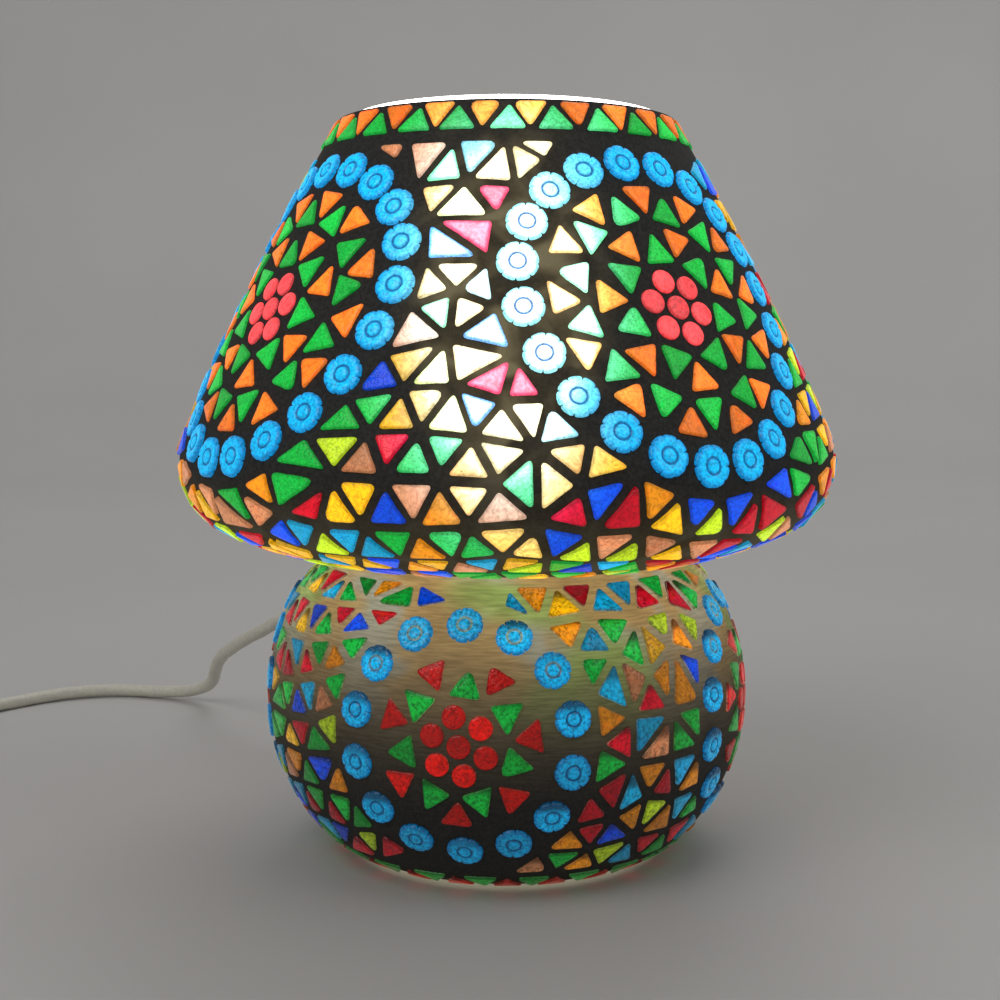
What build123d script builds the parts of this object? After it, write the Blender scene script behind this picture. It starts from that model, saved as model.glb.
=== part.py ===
"""Mosaic glass table lamp: a one-piece blown glass mushroom, tiled and grouted, lit by one screw-in bulb.

Units are millimetres. +Z is up and the origin is the centre of the foot, on the table. The front faces -Y.
An azimuth (phi) is measured from the front towards +X. A place on the glass is (s, phi), where s is the
distance down the outline from the outline's upper end.
"""

from build123d import *

import math
import os

import numpy as np
from scipy.spatial import Delaunay

# ---------------------------------------------------------------- driving dimensions

GLASS_WALL = 2.8
NECK_BULGE = 1.9  # how far the neck's groove runs in behind the glass above and below it
LIP_RADIUS = 6.5
LIP_END_BETA = 75.0
FOOT_BEAD = 1.5
FOOT_RING_WIDTH = 8.0
FOOT_KICK_UP = 5.0

# Outlines of the bare glass: upper end (r, z), slope there, then (radius, slope at its end) for each arc.
# A slope is the angle of the outward normal above the horizontal, in degrees.
SHADE_START = (49.1, 221.4)
SHADE_START_BETA = 30.6
SHADE_ARCS = ((812.0, 23.3), (19.9, -64.6), (104.1, -83.0))
BASE_START = (52.75, 90.7)
BASE_START_BETA = 54.5
BASE_ARCS = ((43.4, 21.6), (62.0, 0.0), (58.6, -36.1), (30.7, -73.9))

GROUT_THICKNESS = 2.0
SHADE_GROUT_END = 158.0
BASE_GROUT_END = 102.5
GROUT_CLEAR = 1.0  # round the cord's hole
TILE_BED = 0.25  # glue between the glass and a tile
TILE_THICKNESS = 2.3
TILE_FACE = TILE_BED + TILE_THICKNESS
BEAD_THICKNESS = 2.6

SHADE_TILE_SIDE = 11.2
BASE_TILE_SIDE = 10.2

MOUTH_BAND_PAIRS = 26
MOUTH_BAND_S = 5.9  # middle of the band
FOOT_BAND_PAIRS = 24
FOOT_BAND_S = 97.0

SHADE_MEDALLION_S = 63.8
SHADE_MEDALLIONS = (33.5, 122.5, 214.5, 306.6)  # azimuths, degrees, set out by eye
SHADE_FLOWERS = 21
SHADE_FLOWER_RING = 43.8
SHADE_FLOWER_RADIUS = 5.6
SHADE_TRIANGLE_RINGS = ((7, 13.0), (13, 25.8))  # (pairs, radius of the inner side)
BASE_MEDALLION_S = 47.6
BASE_MEDALLIONS = (-10.2, 77.0, 169.5, 259.0)
BASE_FLOWERS = 14
BASE_FLOWER_RING = 32.0
BASE_FLOWER_RADIUS = 5.1
BASE_TRIANGLE_RINGS = ((7, 12.7),)
RING_TURN = 0.03  # how far a hand-set tile is out of its place in a ring, radians
RING_LEAN = 0.8  # how far its tip is to one side
INWARD_SHIFT = 1.3  # how far out the tiles that point inwards sit from their neighbours
INWARD_TIP = 1.9
BAND_TURN = 0.006
BAND_LEAN = 0.7
PETALS = 8
PETAL_NOTCH = 0.55

DISC_COUNT = 6  # round one in the middle
SHADE_DISC_RADIUS = 3.5
BASE_DISC_RADIUS = 3.4
DISC_SPACING = 7.9

SHADE_FILL = (13.4, 156.0)  # s range that random tiles fill
BASE_FILL = (3.2, 89.6)
SHADE_FILL_SPACING = 13.3
BASE_FILL_SPACING = 12.4
MEDALLION_MARGIN = 1.3  # bare grout outside a ring of flowers
TILE_GAP_LEAST = 0.65  # share of a grout line that each of two neighbours gives up
TILE_GAP_MOST = 1.25
SMALLEST_INRADIUS = 1.7

CORD_RADIUS = 2.6
CORD_HOLE_RADIUS = 4.6
CORD_HOLE_S = 9.5
CORD_HOLE_PHI = -168.0
CORD_HOLE_MARGIN = 11.5  # from the hole's centre to the middle of the nearest tile
GROMMET_RADIUS = 7.2
GROMMET_FLANGE = 1.2
GROMMET_SEAT = 2.4  # underside of the flange, above the glass
CORD_LANDING = (-160.0, 178.0)  # where the cord comes down to the table
CORD_ENTRY = 6.0  # how far the cord runs into the switch and the plug

HOLDER_BOTTOM = 70.0
HOLDER_TOP = 120.0
HOLDER_RADIUS = 19.8
HOLDER_WALL = 1.5
HOLDER_JOINT = 86.0
HOLDER_MOUTH = 15.0
GRIP_RADIUS = 5.0
GRIP_LENGTH = 11.0
GRIP_FLANGE = 4.0
RING_HEIGHT = 4.5
RING_RADIUS = 24.0
RING_GRIPS = 24
GRIP_NOTCH = 0.8
INSULATOR_BOTTOM = 84.5
INSULATOR_FLOOR = 88.5
INSULATOR_TOP = 117.5
INSULATOR_RADIUS = 18.1
CONTACT_SHELL_BOTTOM = 93.8
CONTACT_SHELL_TOP = 117.0
LEAF_THICKNESS = 0.4
LEAF_WIDTH = 6.0
TERMINAL_OFFSET = 8.0
TERMINAL_RADIUS = 2.0
TERMINAL_LENGTH = 4.5
SPIDER_Z = 100.6
SPIDER_THICKNESS = 1.5
SPIDER_REACH = 63.0
SPIDER_ARM_WIDTH = 13.0
SPIDER_HUB_RADIUS = 26.8
PAD_INNER = 53.6
PAD_OUTER = 61.5
PAD_ANGLE = 11.0
TOUCH_GAP = 0.05  # drawn between two pieces that rest on each other

BULB_TIP = 92.0
BULB_CONTACT_RADIUS = 4.6
BULB_CONTACT_HEIGHT = 1.2
BULB_INSULATOR_TIP = 6.2
BULB_INSULATOR_RADIUS = 11.6
THREAD_RADIUS = 13.2
CONTACT_SHELL_RADIUS = 13.9
THREAD_DEPTH = 0.7
THREAD_PITCH = 3.629
THREAD_TURNS = 5
BULB_CAP_START = 97.0
GLOBE_RADIUS = 30.0
GLOBE_CENTRE = 166.0
GLOBE_SEAT = 152.0
GLOBE_WALL = 1.2
CAP_WALL = 0.4
CAP_SKIRT = 3.0  # plain part above the thread
THREAD_STEPS = 10  # outline points in one turn
HOUSING_WALL = 1.6
HOUSING_NECK = 13.6
HOUSING_NECK_LENGTH = 3.0
HOUSING_TOP_RADIUS = 27.2
LED_BOARD_Z = 149.0
LED_BOARD_RADIUS = 22.0
LED_BOARD_THICKNESS = 1.6
WIRE_HOLE = 2.0
LED_COUNT = 10
LED_RING = 15.0
LED_LENGTH = 3.5
LED_WIDTH = 2.8
LED_HEIGHT = 0.8
DRIVER_BOTTOM = 123.0
DRIVER_WIDTH = 15.0
DRIVER_HEIGHT = 25.0

SWITCH_CENTRE = (-228.0, 78.0, 8.5)
SWITCH_LENGTH = 58.0
SWITCH_WIDTH = 24.0
SWITCH_HEIGHT = 17.0
SWITCH_WALL = 2.0
SWITCH_CORNER = 8.0
SWITCH_SCREWS = ((7.2, 19.5), (-7.2, -19.5))  # from the switch's centre
SCREW_RADIUS = 1.5
SCREW_SLOT = 0.6
SCREW_SUNK = 0.4
ROCKER_PIVOT = 14.5
ROCKER_LENGTH = 19.0
ROCKER_WIDTH = 9.0
ROCKER_TILT = 9.0  # either side of level
ROCKER_RISE = 1.9
ROCKER_DEPTH = 3.0
ROCKER_END_ANGLE = 12.0
ROCKER_END_SWEEP = 36.0
BLADE_LENGTH = 26.0
BLADE_WIDTH = 2.4
BLADE_THICKNESS = 0.6
BLADE_OFFSET = 5.5

PLUG_CENTRE = (-214.0, -36.0, 7.2)
PLUG_LENGTH = 36.0
PLUG_WIDTH = 35.0
PLUG_HEIGHT = 13.7
PLUG_NECK_WIDTH = 13.0
PLUG_NECK_HEIGHT = 9.5
PLUG_PIN_RADIUS = 2.0
PLUG_PIN_LENGTH = 19.0
PLUG_PIN_SPACING = 19.0
PLUG_PIN_ROOT = 9.5  # inside the plug
PLUG_PIN_ROOT_RADIUS = 1.5
PIN_GAP = 0.02

FELT_THICKNESS = 0.6
FELT_INSET = 0.5
RUNNING_GAP = 0.1

rng = np.random.default_rng(57)
os.makedirs("parts", exist_ok=True)


def save(name, node):
    """Labels a finished piece and writes it as its own STEP file."""
    node.part.label = name
    export_step(node.part, f"parts/{name}.step")


# ---------------------------------------------------------------- the glass surface


class Outline:
    """A chain of tangent arcs in the (r, z) half plane, walked downwards from its upper end."""

    def __init__(self, start, start_beta, arcs):
        self.arcs = []
        r, z = start
        beta = start_beta
        s = 0.0
        for radius, end_beta in arcs:
            centre_r = r - radius * math.cos(math.radians(beta))
            centre_z = z - radius * math.sin(math.radians(beta))
            self.arcs.append((centre_r, centre_z, radius, beta, end_beta, s))
            s += radius * math.radians(beta - end_beta)
            beta = end_beta
            r = centre_r + radius * math.cos(math.radians(beta))
            z = centre_z + radius * math.sin(math.radians(beta))
        self.length = s
        self.walk = np.linspace(0.0, s, 400)
        radii = np.array([self.at(step)[0] for step in self.walk])
        steps = np.diff(self.walk) / (0.5 * (radii[1:] + radii[:-1]))
        self.turns = np.concatenate([[0.0], np.cumsum(steps)])

    def at(self, s, lift=0.0):
        """(r, z, slope of the outward normal in degrees) at distance s, lifted off the glass."""
        for centre_r, centre_z, radius, beta, _end_beta, s_start in reversed(self.arcs):
            if s >= s_start:
                break
        here = beta - math.degrees((s - s_start) / radius)
        reach = radius + lift
        r = centre_r + reach * math.cos(math.radians(here))
        z = centre_z + reach * math.sin(math.radians(here))
        return r, z, here

    def end(self, lift=0.0):
        """(r, z) of the lower end."""
        return self.at(self.length, lift)[:2]

    def start(self, lift=0.0):
        """(r, z) of the upper end."""
        return self.at(0.0, lift)[:2]

    def draw(self, lift=0.0, until=None):
        """Adds the outline's arcs to the open BuildLine, lifted, down to the distance until."""
        stop = self.length if until is None else until
        for centre_r, centre_z, radius, beta, end_beta, s_start in self.arcs:
            if s_start < stop:
                last = max(end_beta, beta - math.degrees((stop - s_start) / radius))
                CenterArc((centre_r, centre_z), radius + lift, beta, last - beta)

    def unrolled(self, s):
        """The distance s in the units of azimuth, so that small shapes keep their angles."""
        return np.interp(s, self.walk, self.turns)

    def plane(self, s, phi, lift=0.0):
        """Plane that touches the surface at (s, phi), x along the azimuth and y up the outline."""
        r, z, beta = self.at(s, lift)
        slope = math.radians(beta)
        normal = (math.cos(slope) * math.sin(phi), -math.cos(slope) * math.cos(phi), math.sin(slope))
        origin = (r * math.sin(phi), -r * math.cos(phi), z)
        return Plane(origin=origin, x_dir=(math.cos(phi), math.sin(phi), 0.0), z_dir=normal)

    def point(self, s, phi, lift=0.0):
        """Point of the surface as a Vector."""
        r, z, _beta = self.at(s, lift)
        return Vector(r * math.sin(phi), -r * math.cos(phi), z)

    def around(self, s_centre, phi_centre, reach, angle):
        """(s, phi) at a distance and a direction from a centre, direction 90 being up the outline."""
        s = s_centre - reach * math.sin(angle)
        return s, phi_centre + reach * math.cos(angle) / self.at(s, TILE_FACE)[0]


shade = Outline(SHADE_START, SHADE_START_BETA, SHADE_ARCS)
base = Outline(BASE_START, BASE_START_BETA, BASE_ARCS)
cord_hole = base.plane(CORD_HOLE_S, math.radians(CORD_HOLE_PHI))


# ---------------------------------------------------------------- glass and grout

lip_centre = (
    SHADE_START[0] - LIP_RADIUS * math.cos(math.radians(SHADE_START_BETA)),
    SHADE_START[1] - LIP_RADIUS * math.sin(math.radians(SHADE_START_BETA)),
)
lip_turn = LIP_END_BETA - SHADE_START_BETA
neck_middle_z = 0.5 * (shade.end()[1] + base.start()[1])
neck_radius = min(shade.end()[0], base.start()[0]) - NECK_BULGE
foot_bead_centre = (base.end()[0] - 0.4 * FOOT_BEAD, FELT_THICKNESS + FOOT_BEAD)
foot_inner_radius = foot_bead_centre[0] - FOOT_RING_WIDTH

with BuildPart() as glass_body:
    with BuildSketch(Plane.XZ):
        with BuildLine():
            outer_lip = CenterArc(lip_centre, LIP_RADIUS, SHADE_START_BETA, lip_turn)
            inner_lip = CenterArc(lip_centre, LIP_RADIUS - GLASS_WALL, SHADE_START_BETA, lip_turn)
            TangentArc(outer_lip @ 1, inner_lip @ 1, tangent=outer_lip % 1)
            shade.draw()
            shade.draw(-GLASS_WALL)
            ThreePointArc(shade.end(), (neck_radius, neck_middle_z), base.start())
            ThreePointArc(
                shade.end(-GLASS_WALL), (neck_radius - GLASS_WALL, neck_middle_z), base.start(-GLASS_WALL)
            )
            base.draw()
            base.draw(-GLASS_WALL)
            bead = CenterArc(foot_bead_centre, FOOT_BEAD, 20, -110)
            Line(base.end(), bead @ 0)
            rest = Line(bead @ 1, (foot_inner_radius, FELT_THICKNESS))
            kick = (0, FELT_THICKNESS + FOOT_KICK_UP)
            Spline(rest @ 1, kick, tangents=((-1, 0.5), (-1, 0)))
            axis_line = Line(kick, (0, kick[1] + GLASS_WALL))
            floor_start = (foot_inner_radius, FELT_THICKNESS + GLASS_WALL)
            Spline(axis_line @ 1, floor_start, tangents=((1, 0), (1, -0.5)))
            Line(floor_start, base.end(-GLASS_WALL))
        make_face()
    revolve(axis=Axis.Z)
    with BuildSketch(cord_hole.offset(-3 * GLASS_WALL)):
        Circle(CORD_HOLE_RADIUS)
    extrude(amount=6 * GLASS_WALL, mode=Mode.SUBTRACT)
save("glass_body", glass_body)


def grout_layer(outline, s_end):
    """A layer of grout from an outline's upper end down to s_end, clear of the cord's hole."""
    with BuildPart() as layer:
        with BuildSketch(Plane.XZ):
            with BuildLine():
                outline.draw(0.0, s_end)
                outline.draw(GROUT_THICKNESS, s_end)
                Line(outline.start(), outline.start(GROUT_THICKNESS))
                Line(outline.at(s_end)[:2], outline.at(s_end, GROUT_THICKNESS)[:2])
            make_face()
        revolve(axis=Axis.Z)
        with BuildSketch(cord_hole.offset(-GLASS_WALL)):
            Circle(CORD_HOLE_RADIUS + GROUT_CLEAR)
        extrude(amount=3 * GLASS_WALL, mode=Mode.SUBTRACT)
    return layer


save("shade_grout", grout_layer(shade, SHADE_GROUT_END))
save("base_grout", grout_layer(base, BASE_GROUT_END))

# ---------------------------------------------------------------- tiles


def trimmed(corners, gaps):
    """A counter-clockwise polygon with each side moved inwards by its own gap."""
    count = len(corners)
    lines = []
    for k in range(count):
        a = np.array(corners[k])
        b = np.array(corners[(k + 1) % count])
        along = (b - a) / np.linalg.norm(b - a)
        inward = np.array((-along[1], along[0]))
        lines.append((a + gaps[k] * inward, along))
    out = []
    for k in range(count):
        (p, u), (q, v) = lines[k - 1], lines[k]
        step = np.linalg.solve(np.array((u, -v)).T, q - p)[0]
        out.append(p + step * u)
    return out


def area(corners):
    """Signed area of a polygon."""
    total = 0.0
    for a, b in zip(corners, corners[1:] + corners[:1]):
        total += 0.5 * (a[0] * b[1] - a[1] * b[0])
    return total


def perimeter(corners):
    """Length round a polygon."""
    return sum(math.dist(a, b) for a, b in zip(corners, corners[1:] + corners[:1]))


def flat_tile(outline, places, gaps=(0.0, 0.0, 0.0)):
    """(plane, corners) of a flat tile whose corners lie over the (s, phi) places, or None if too small."""
    s_middle = sum(s for s, _phi in places) / len(places)
    phi_middle = sum(phi for _s, phi in places) / len(places)
    plane = outline.plane(s_middle, phi_middle, TILE_BED)
    corners = []
    for s, phi in places:
        away = outline.point(s, phi, TILE_BED) - plane.origin
        corners.append((away.dot(plane.x_dir), away.dot(plane.y_dir)))
    if area(corners) < 0:
        corners.reverse()
    corners = trimmed(corners, gaps)
    size = area(corners)
    if size <= 0 or 2 * size / perimeter(corners) < SMALLEST_INRADIUS:
        return None
    return plane, corners


def triangle_ring(outline, s_centre, phi_centre, pairs, inner, side):
    """Two lists of tiles in a ring: those that point outwards, and those between them that point inwards."""
    height = side * math.sqrt(3) / 2
    outward = []
    inward = []
    turn = rng.uniform(0, 2 * math.pi / pairs)
    for k in range(2 * pairs):
        points_out = k % 2 == 0
        angle = turn + k * math.pi / pairs + rng.uniform(-RING_TURN, RING_TURN)
        half = 0.5 * side * rng.uniform(0.93, 1.0)
        lean = rng.uniform(-RING_LEAN, RING_LEAN)
        if points_out:
            radial = (inner, inner, inner + height)
            across = (-half, half, lean)
        else:
            outer = inner + height + INWARD_SHIFT
            radial = (outer, outer, inner + INWARD_TIP)
            across = (half, -half, lean)
        places = []
        for out, over in zip(radial, across):
            reach = math.hypot(out, over)
            places.append(outline.around(s_centre, phi_centre, reach, angle + math.atan2(over, out)))
        tile = flat_tile(outline, places)
        (outward if points_out else inward).append(tile)
    return outward, inward


def triangle_band(outline, s_middle, pairs, side):
    """Two lists of tiles in a band round the lamp: those that point up, and those that point down."""
    height = side * math.sqrt(3) / 2
    radius = outline.at(s_middle, TILE_BED)[0]
    up = []
    down = []
    for k in range(2 * pairs):
        phi = k * math.pi / pairs + rng.uniform(-BAND_TURN, BAND_TURN)
        half = 0.5 * side * rng.uniform(0.95, 1.0)
        lean = rng.uniform(-BAND_LEAN, BAND_LEAN)
        if k % 2 == 0:
            rise = -0.45 * height
            lift = 0.45 * height
        else:
            rise = 0.5 * height + 0.4
            lift = -0.4 * height
        places = [
            (s_middle - rise, phi - half / radius),
            (s_middle - rise, phi + half / radius),
            (s_middle - lift, phi + lean / radius),
        ]
        (up if k % 2 == 0 else down).append(flat_tile(outline, places))
    return up, down


def gap_to_disc(outline, s, phi, disc):
    """Distance from a place to the edge of a disc, both on the surface. Inside it is negative."""
    s_disc, phi_disc, reach = disc
    turn = (phi - phi_disc + math.pi) % (2 * math.pi) - math.pi
    return math.hypot(turn * outline.at(s, TILE_FACE)[0], s - s_disc) - reach


def spread_points(outline, fill, spacing, discs):
    """Places spread evenly over a band of the surface, outside the discs and along their edges."""
    top, bottom = fill
    places = []
    for edge in fill:
        count = round(2 * math.pi * outline.at(edge)[0] / spacing)
        places += [(edge, 2 * math.pi * k / count) for k in range(count)]
    for s_disc, phi_disc, reach in discs:
        count = round(2 * math.pi * reach / spacing)
        for k in range(count):
            s, phi = outline.around(s_disc, phi_disc, reach, 2 * math.pi * k / count)
            inside = top + 0.4 * spacing < s < bottom - 0.4 * spacing
            apart = all(gap_to_disc(outline, s, phi, disc) > -0.5 for disc in discs)
            if inside and apart:
                places.append((s, phi))
    fixed = len(places)
    widest = max(outline.at(s)[0] for s in np.linspace(top, bottom, 50))
    for _try in range(9000):
        s = rng.uniform(top + 0.6 * spacing, bottom - 0.6 * spacing)
        phi = rng.uniform(0, 2 * math.pi)
        radius = outline.at(s)[0]
        if rng.uniform(0, widest) > radius:
            continue
        if any(gap_to_disc(outline, s, phi, disc) < 0.6 * spacing for disc in discs):
            continue
        taken = np.array(places)
        turn = (taken[:, 1] - phi + math.pi) % (2 * math.pi) - math.pi
        if np.hypot(turn * radius, taken[:, 0] - s).min() > 0.74 * spacing:
            places.append((s, phi))
    taken = np.array(places)
    for _round in range(50):
        radii = np.array([outline.at(s)[0] for s in taken[:, 0]])
        turn = (taken[:, None, 1] - taken[None, :, 1] + math.pi) % (2 * math.pi) - math.pi
        over = turn * 0.5 * (radii[:, None] + radii[None, :])
        down = taken[:, None, 0] - taken[None, :, 0]
        apart = np.hypot(over, down) + np.eye(len(taken)) * 1e9
        push = np.clip(1.1 * spacing - apart, 0, None) / apart * 0.22
        move_over = (push * over).sum(1)
        move_down = (push * down).sum(1)
        taken[fixed:, 0] += move_down[fixed:]
        taken[fixed:, 1] += move_over[fixed:] / radii[fixed:]
        taken[fixed:, 0] = np.clip(taken[fixed:, 0], top + 0.5 * spacing, bottom - 0.5 * spacing)
    return taken


def random_tiles(outline, fill, spacing, discs):
    """Three-sided tiles that fill a band of the surface outside the discs, as hand-cut scraps would."""
    places = spread_points(outline, fill, spacing, discs)
    flat = np.column_stack([places[:, 1] % (2 * math.pi), outline.unrolled(places[:, 0])])
    full_turn = np.array((2 * math.pi, 0.0))
    copies = np.concatenate([flat - full_turn, flat, flat + full_turn])
    s_of = np.tile(places[:, 0], 3)
    tiles = []
    for corner_ids in Delaunay(copies).simplices:
        phi_middle = copies[corner_ids, 0].mean()
        s_middle = s_of[corner_ids].mean()
        gaps = rng.uniform(TILE_GAP_LEAST, TILE_GAP_MOST, 3)
        if not 0 <= phi_middle < 2 * math.pi:
            continue
        if any(gap_to_disc(outline, s_middle, phi_middle, disc) < 0.5 for disc in discs):
            continue
        tile = flat_tile(outline, [(s_of[k], copies[k, 0]) for k in corner_ids], gaps)
        if tile is None or (tile[0].origin - cord_hole.origin).length < CORD_HOLE_MARGIN:
            continue
        tiles.append(tile)
    return tiles


def dealt(tiles, shares):
    """Deals tiles into one list per colour, in proportion to the shares."""
    names = list(shares)
    weights = np.array([shares[name] for name in names], float)
    hands = {name: [] for name in names}
    for tile in tiles:
        hands[names[rng.choice(len(names), p=weights / weights.sum())]].append(tile)
    return hands


def save_tiles(name, tiles):
    """Writes flat tiles as one group of separate solids."""
    with BuildPart() as group:
        for plane, corners in tiles:
            with BuildSketch(plane):
                with BuildLine():
                    Polyline(*[tuple(corner) for corner in corners], close=True)
                make_face()
        extrude(amount=TILE_THICKNESS)
    save(name, group)


def flower_ring(outline, s_centre, phi_centre, count, reach):
    """Planes of the beads in one ring."""
    planes = []
    for k in range(count):
        s, phi = outline.around(s_centre, phi_centre, reach, 2 * math.pi * (k + 0.5) / count)
        plane = outline.plane(s, phi, TILE_BED)
        turn = rng.uniform(0, 2 * math.pi / PETALS)
        x_dir = plane.x_dir * math.cos(turn) + plane.y_dir * math.sin(turn)
        planes.append(Plane(origin=plane.origin, x_dir=x_dir, z_dir=plane.z_dir))
    return planes


def disc_cluster(outline, s_centre, phi_centre):
    """Planes of one round tile and the ring of round tiles about it."""
    planes = [outline.plane(s_centre, phi_centre, TILE_BED)]
    turn = rng.uniform(0, math.pi)
    for k in range(DISC_COUNT):
        s, phi = outline.around(s_centre, phi_centre, DISC_SPACING, turn + 2 * math.pi * k / DISC_COUNT)
        planes.append(outline.plane(s, phi, TILE_BED))
    return planes


def save_beads(name, planes, radius):
    """Writes flower-shaped beads, one on each plane."""
    with BuildPart() as bead_shape:
        with BuildSketch():
            Circle(radius)
            with PolarLocations(radius, PETALS):
                Circle(PETAL_NOTCH, mode=Mode.SUBTRACT)
        extrude(amount=BEAD_THICKNESS)
    with BuildPart() as group:
        with Locations(*[Location(plane) for plane in planes]):
            add(bead_shape.part)
    save(name, group)


def save_discs(name, planes, radius):
    """Writes round tiles, one on each plane."""
    with BuildPart() as group:
        with Locations(*[Location(plane) for plane in planes]):
            Cylinder(radius, TILE_THICKNESS, align=(Align.CENTER, Align.CENTER, Align.MIN))
    save(name, group)


def medallion_mosaic(zone, outline, s_centre, azimuths, rings, side, out_name, in_name):
    """Writes the two colours of triangles in every medallion of one zone."""
    outward = []
    inward = []
    for azimuth in azimuths:
        for pairs, inner in rings:
            out, in_ = triangle_ring(outline, s_centre, math.radians(azimuth), pairs, inner, side)
            outward += out
            inward += in_
    save_tiles(f"{zone}_medallion_{out_name}_tiles", outward)
    save_tiles(f"{zone}_medallion_{in_name}_tiles", inward)


band_up, band_down = triangle_band(shade, MOUTH_BAND_S, MOUTH_BAND_PAIRS, SHADE_TILE_SIDE - 0.8)
save_tiles("mouth_band_green_tiles", band_up)
save_tiles("mouth_band_orange_tiles", band_down)
band_up, band_down = triangle_band(base, FOOT_BAND_S, FOOT_BAND_PAIRS, BASE_TILE_SIDE)
save_tiles("foot_band_red_tiles", band_up)
save_tiles("foot_band_green_tiles", band_down)

medallion_mosaic(
    "shade", shade, SHADE_MEDALLION_S, SHADE_MEDALLIONS, SHADE_TRIANGLE_RINGS,
    SHADE_TILE_SIDE - 0.4, "green", "orange",
)
medallion_mosaic(
    "base", base, BASE_MEDALLION_S, BASE_MEDALLIONS, BASE_TRIANGLE_RINGS,
    BASE_TILE_SIDE, "green", "red",
)

shade_beads = []
shade_discs = []
for azimuth in SHADE_MEDALLIONS:
    centre = (SHADE_MEDALLION_S, math.radians(azimuth))
    shade_beads += flower_ring(shade, *centre, SHADE_FLOWERS, SHADE_FLOWER_RING)
    shade_discs += disc_cluster(shade, *centre)
save_beads("shade_flower_beads", shade_beads, SHADE_FLOWER_RADIUS)
save_discs("shade_medallion_discs", shade_discs, SHADE_DISC_RADIUS)

base_beads = []
base_discs = []
for azimuth in BASE_MEDALLIONS:
    centre = (BASE_MEDALLION_S, math.radians(azimuth))
    base_beads += flower_ring(base, *centre, BASE_FLOWERS, BASE_FLOWER_RING)
    base_discs += disc_cluster(base, *centre)
save_beads("base_flower_beads", base_beads, BASE_FLOWER_RADIUS)
save_discs("base_medallion_discs", base_discs, BASE_DISC_RADIUS)

shade_reach = SHADE_FLOWER_RING + SHADE_FLOWER_RADIUS + MEDALLION_MARGIN
shade_holes = [(SHADE_MEDALLION_S, math.radians(azimuth), shade_reach) for azimuth in SHADE_MEDALLIONS]
shade_shares = {
    "yellow": 17, "amber": 12, "lime": 10, "green": 11,
    "turquoise": 16, "cobalt": 11, "ruby": 13, "peach": 10,
}
shade_fill = random_tiles(shade, SHADE_FILL, SHADE_FILL_SPACING, shade_holes)
for colour, tiles in dealt(shade_fill, shade_shares).items():
    save_tiles(f"shade_{colour}_tiles", tiles)

base_reach = BASE_FLOWER_RING + BASE_FLOWER_RADIUS + MEDALLION_MARGIN
base_holes = [(BASE_MEDALLION_S, math.radians(azimuth), base_reach) for azimuth in BASE_MEDALLIONS]
base_shares = {
    "yellow": 10, "amber": 17, "lime": 8, "green": 16,
    "turquoise": 15, "cobalt": 10, "ruby": 16, "peach": 8,
}
base_fill = random_tiles(base, BASE_FILL, BASE_FILL_SPACING, base_holes)
for colour, tiles in dealt(base_fill, base_shares).items():
    save_tiles(f"base_{colour}_tiles", tiles)

# ---------------------------------------------------------------- foot

with BuildPart() as foot_felt:
    with BuildSketch():
        Circle(foot_bead_centre[0] - FELT_INSET)
        Circle(foot_inner_radius + FELT_INSET, mode=Mode.SUBTRACT)
    extrude(amount=FELT_THICKNESS)
save("foot_felt", foot_felt)

# ---------------------------------------------------------------- lampholder and spider

with BuildPart() as spider:
    with BuildSketch(Plane.XY.offset(SPIDER_Z)):
        Circle(SPIDER_HUB_RADIUS)
        SlotOverall(2 * SPIDER_REACH, SPIDER_ARM_WIDTH)
        Circle(HOLDER_RADIUS + 3 * RUNNING_GAP, mode=Mode.SUBTRACT)
    extrude(amount=SPIDER_THICKNESS)
save("holder_spider", spider)

floor_r, floor_z, floor_radius = shade.arcs[-1][:3]
floor_reach = floor_radius - GLASS_WALL - RUNNING_GAP
inner_beta = -math.degrees(math.acos((PAD_INNER - floor_r) / floor_reach))
outer_beta = -math.degrees(math.acos((PAD_OUTER - floor_r) / floor_reach))
with BuildPart() as spider_pads:
    for side in (0, 180):
        with BuildSketch(Plane.XZ.rotated((0, 0, side - 0.5 * PAD_ANGLE))):
            with BuildLine():
                sole = CenterArc((floor_r, floor_z), floor_reach, inner_beta, outer_beta - inner_beta)
                seat_z = SPIDER_Z - TOUCH_GAP
                Polyline(sole @ 0, (PAD_INNER, seat_z), (PAD_OUTER, seat_z), sole @ 1)
            make_face()
    revolve(axis=Axis.Z, revolution_arc=PAD_ANGLE)
save("spider_pads", spider_pads)


def tube(bottom, top, outer, inner):
    """Adds an upright tube on the lamp's axis to the open part."""
    with BuildSketch(Plane.XY.offset(bottom)) as ring:
        Circle(outer)
        Circle(inner, mode=Mode.SUBTRACT)
    extrude(ring.sketch, amount=top - bottom)


with BuildPart() as holder_shell:
    tube(HOLDER_JOINT, HOLDER_TOP, HOLDER_RADIUS, HOLDER_RADIUS - HOLDER_WALL)
    tube(HOLDER_TOP - HOLDER_WALL, HOLDER_TOP, HOLDER_RADIUS, HOLDER_MOUTH)
    chamfer(holder_shell.edges().filter_by(GeomType.CIRCLE).sort_by(Axis.Z)[-1], 0.4 * HOLDER_WALL)
save("holder_shell", holder_shell)

with BuildPart() as holder_cap:
    tube(HOLDER_BOTTOM + HOLDER_WALL, HOLDER_JOINT - RUNNING_GAP, HOLDER_RADIUS, HOLDER_RADIUS - HOLDER_WALL)
    tube(HOLDER_BOTTOM, HOLDER_BOTTOM + HOLDER_WALL, HOLDER_RADIUS, GRIP_RADIUS + RUNNING_GAP)
    cap_rim = holder_cap.edges().filter_by(GeomType.CIRCLE).group_by(Axis.Z)[0].sort_by(SortBy.RADIUS)[-1]
    fillet(cap_rim, 0.8 * HOLDER_WALL)
save("holder_cap", holder_cap)

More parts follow.
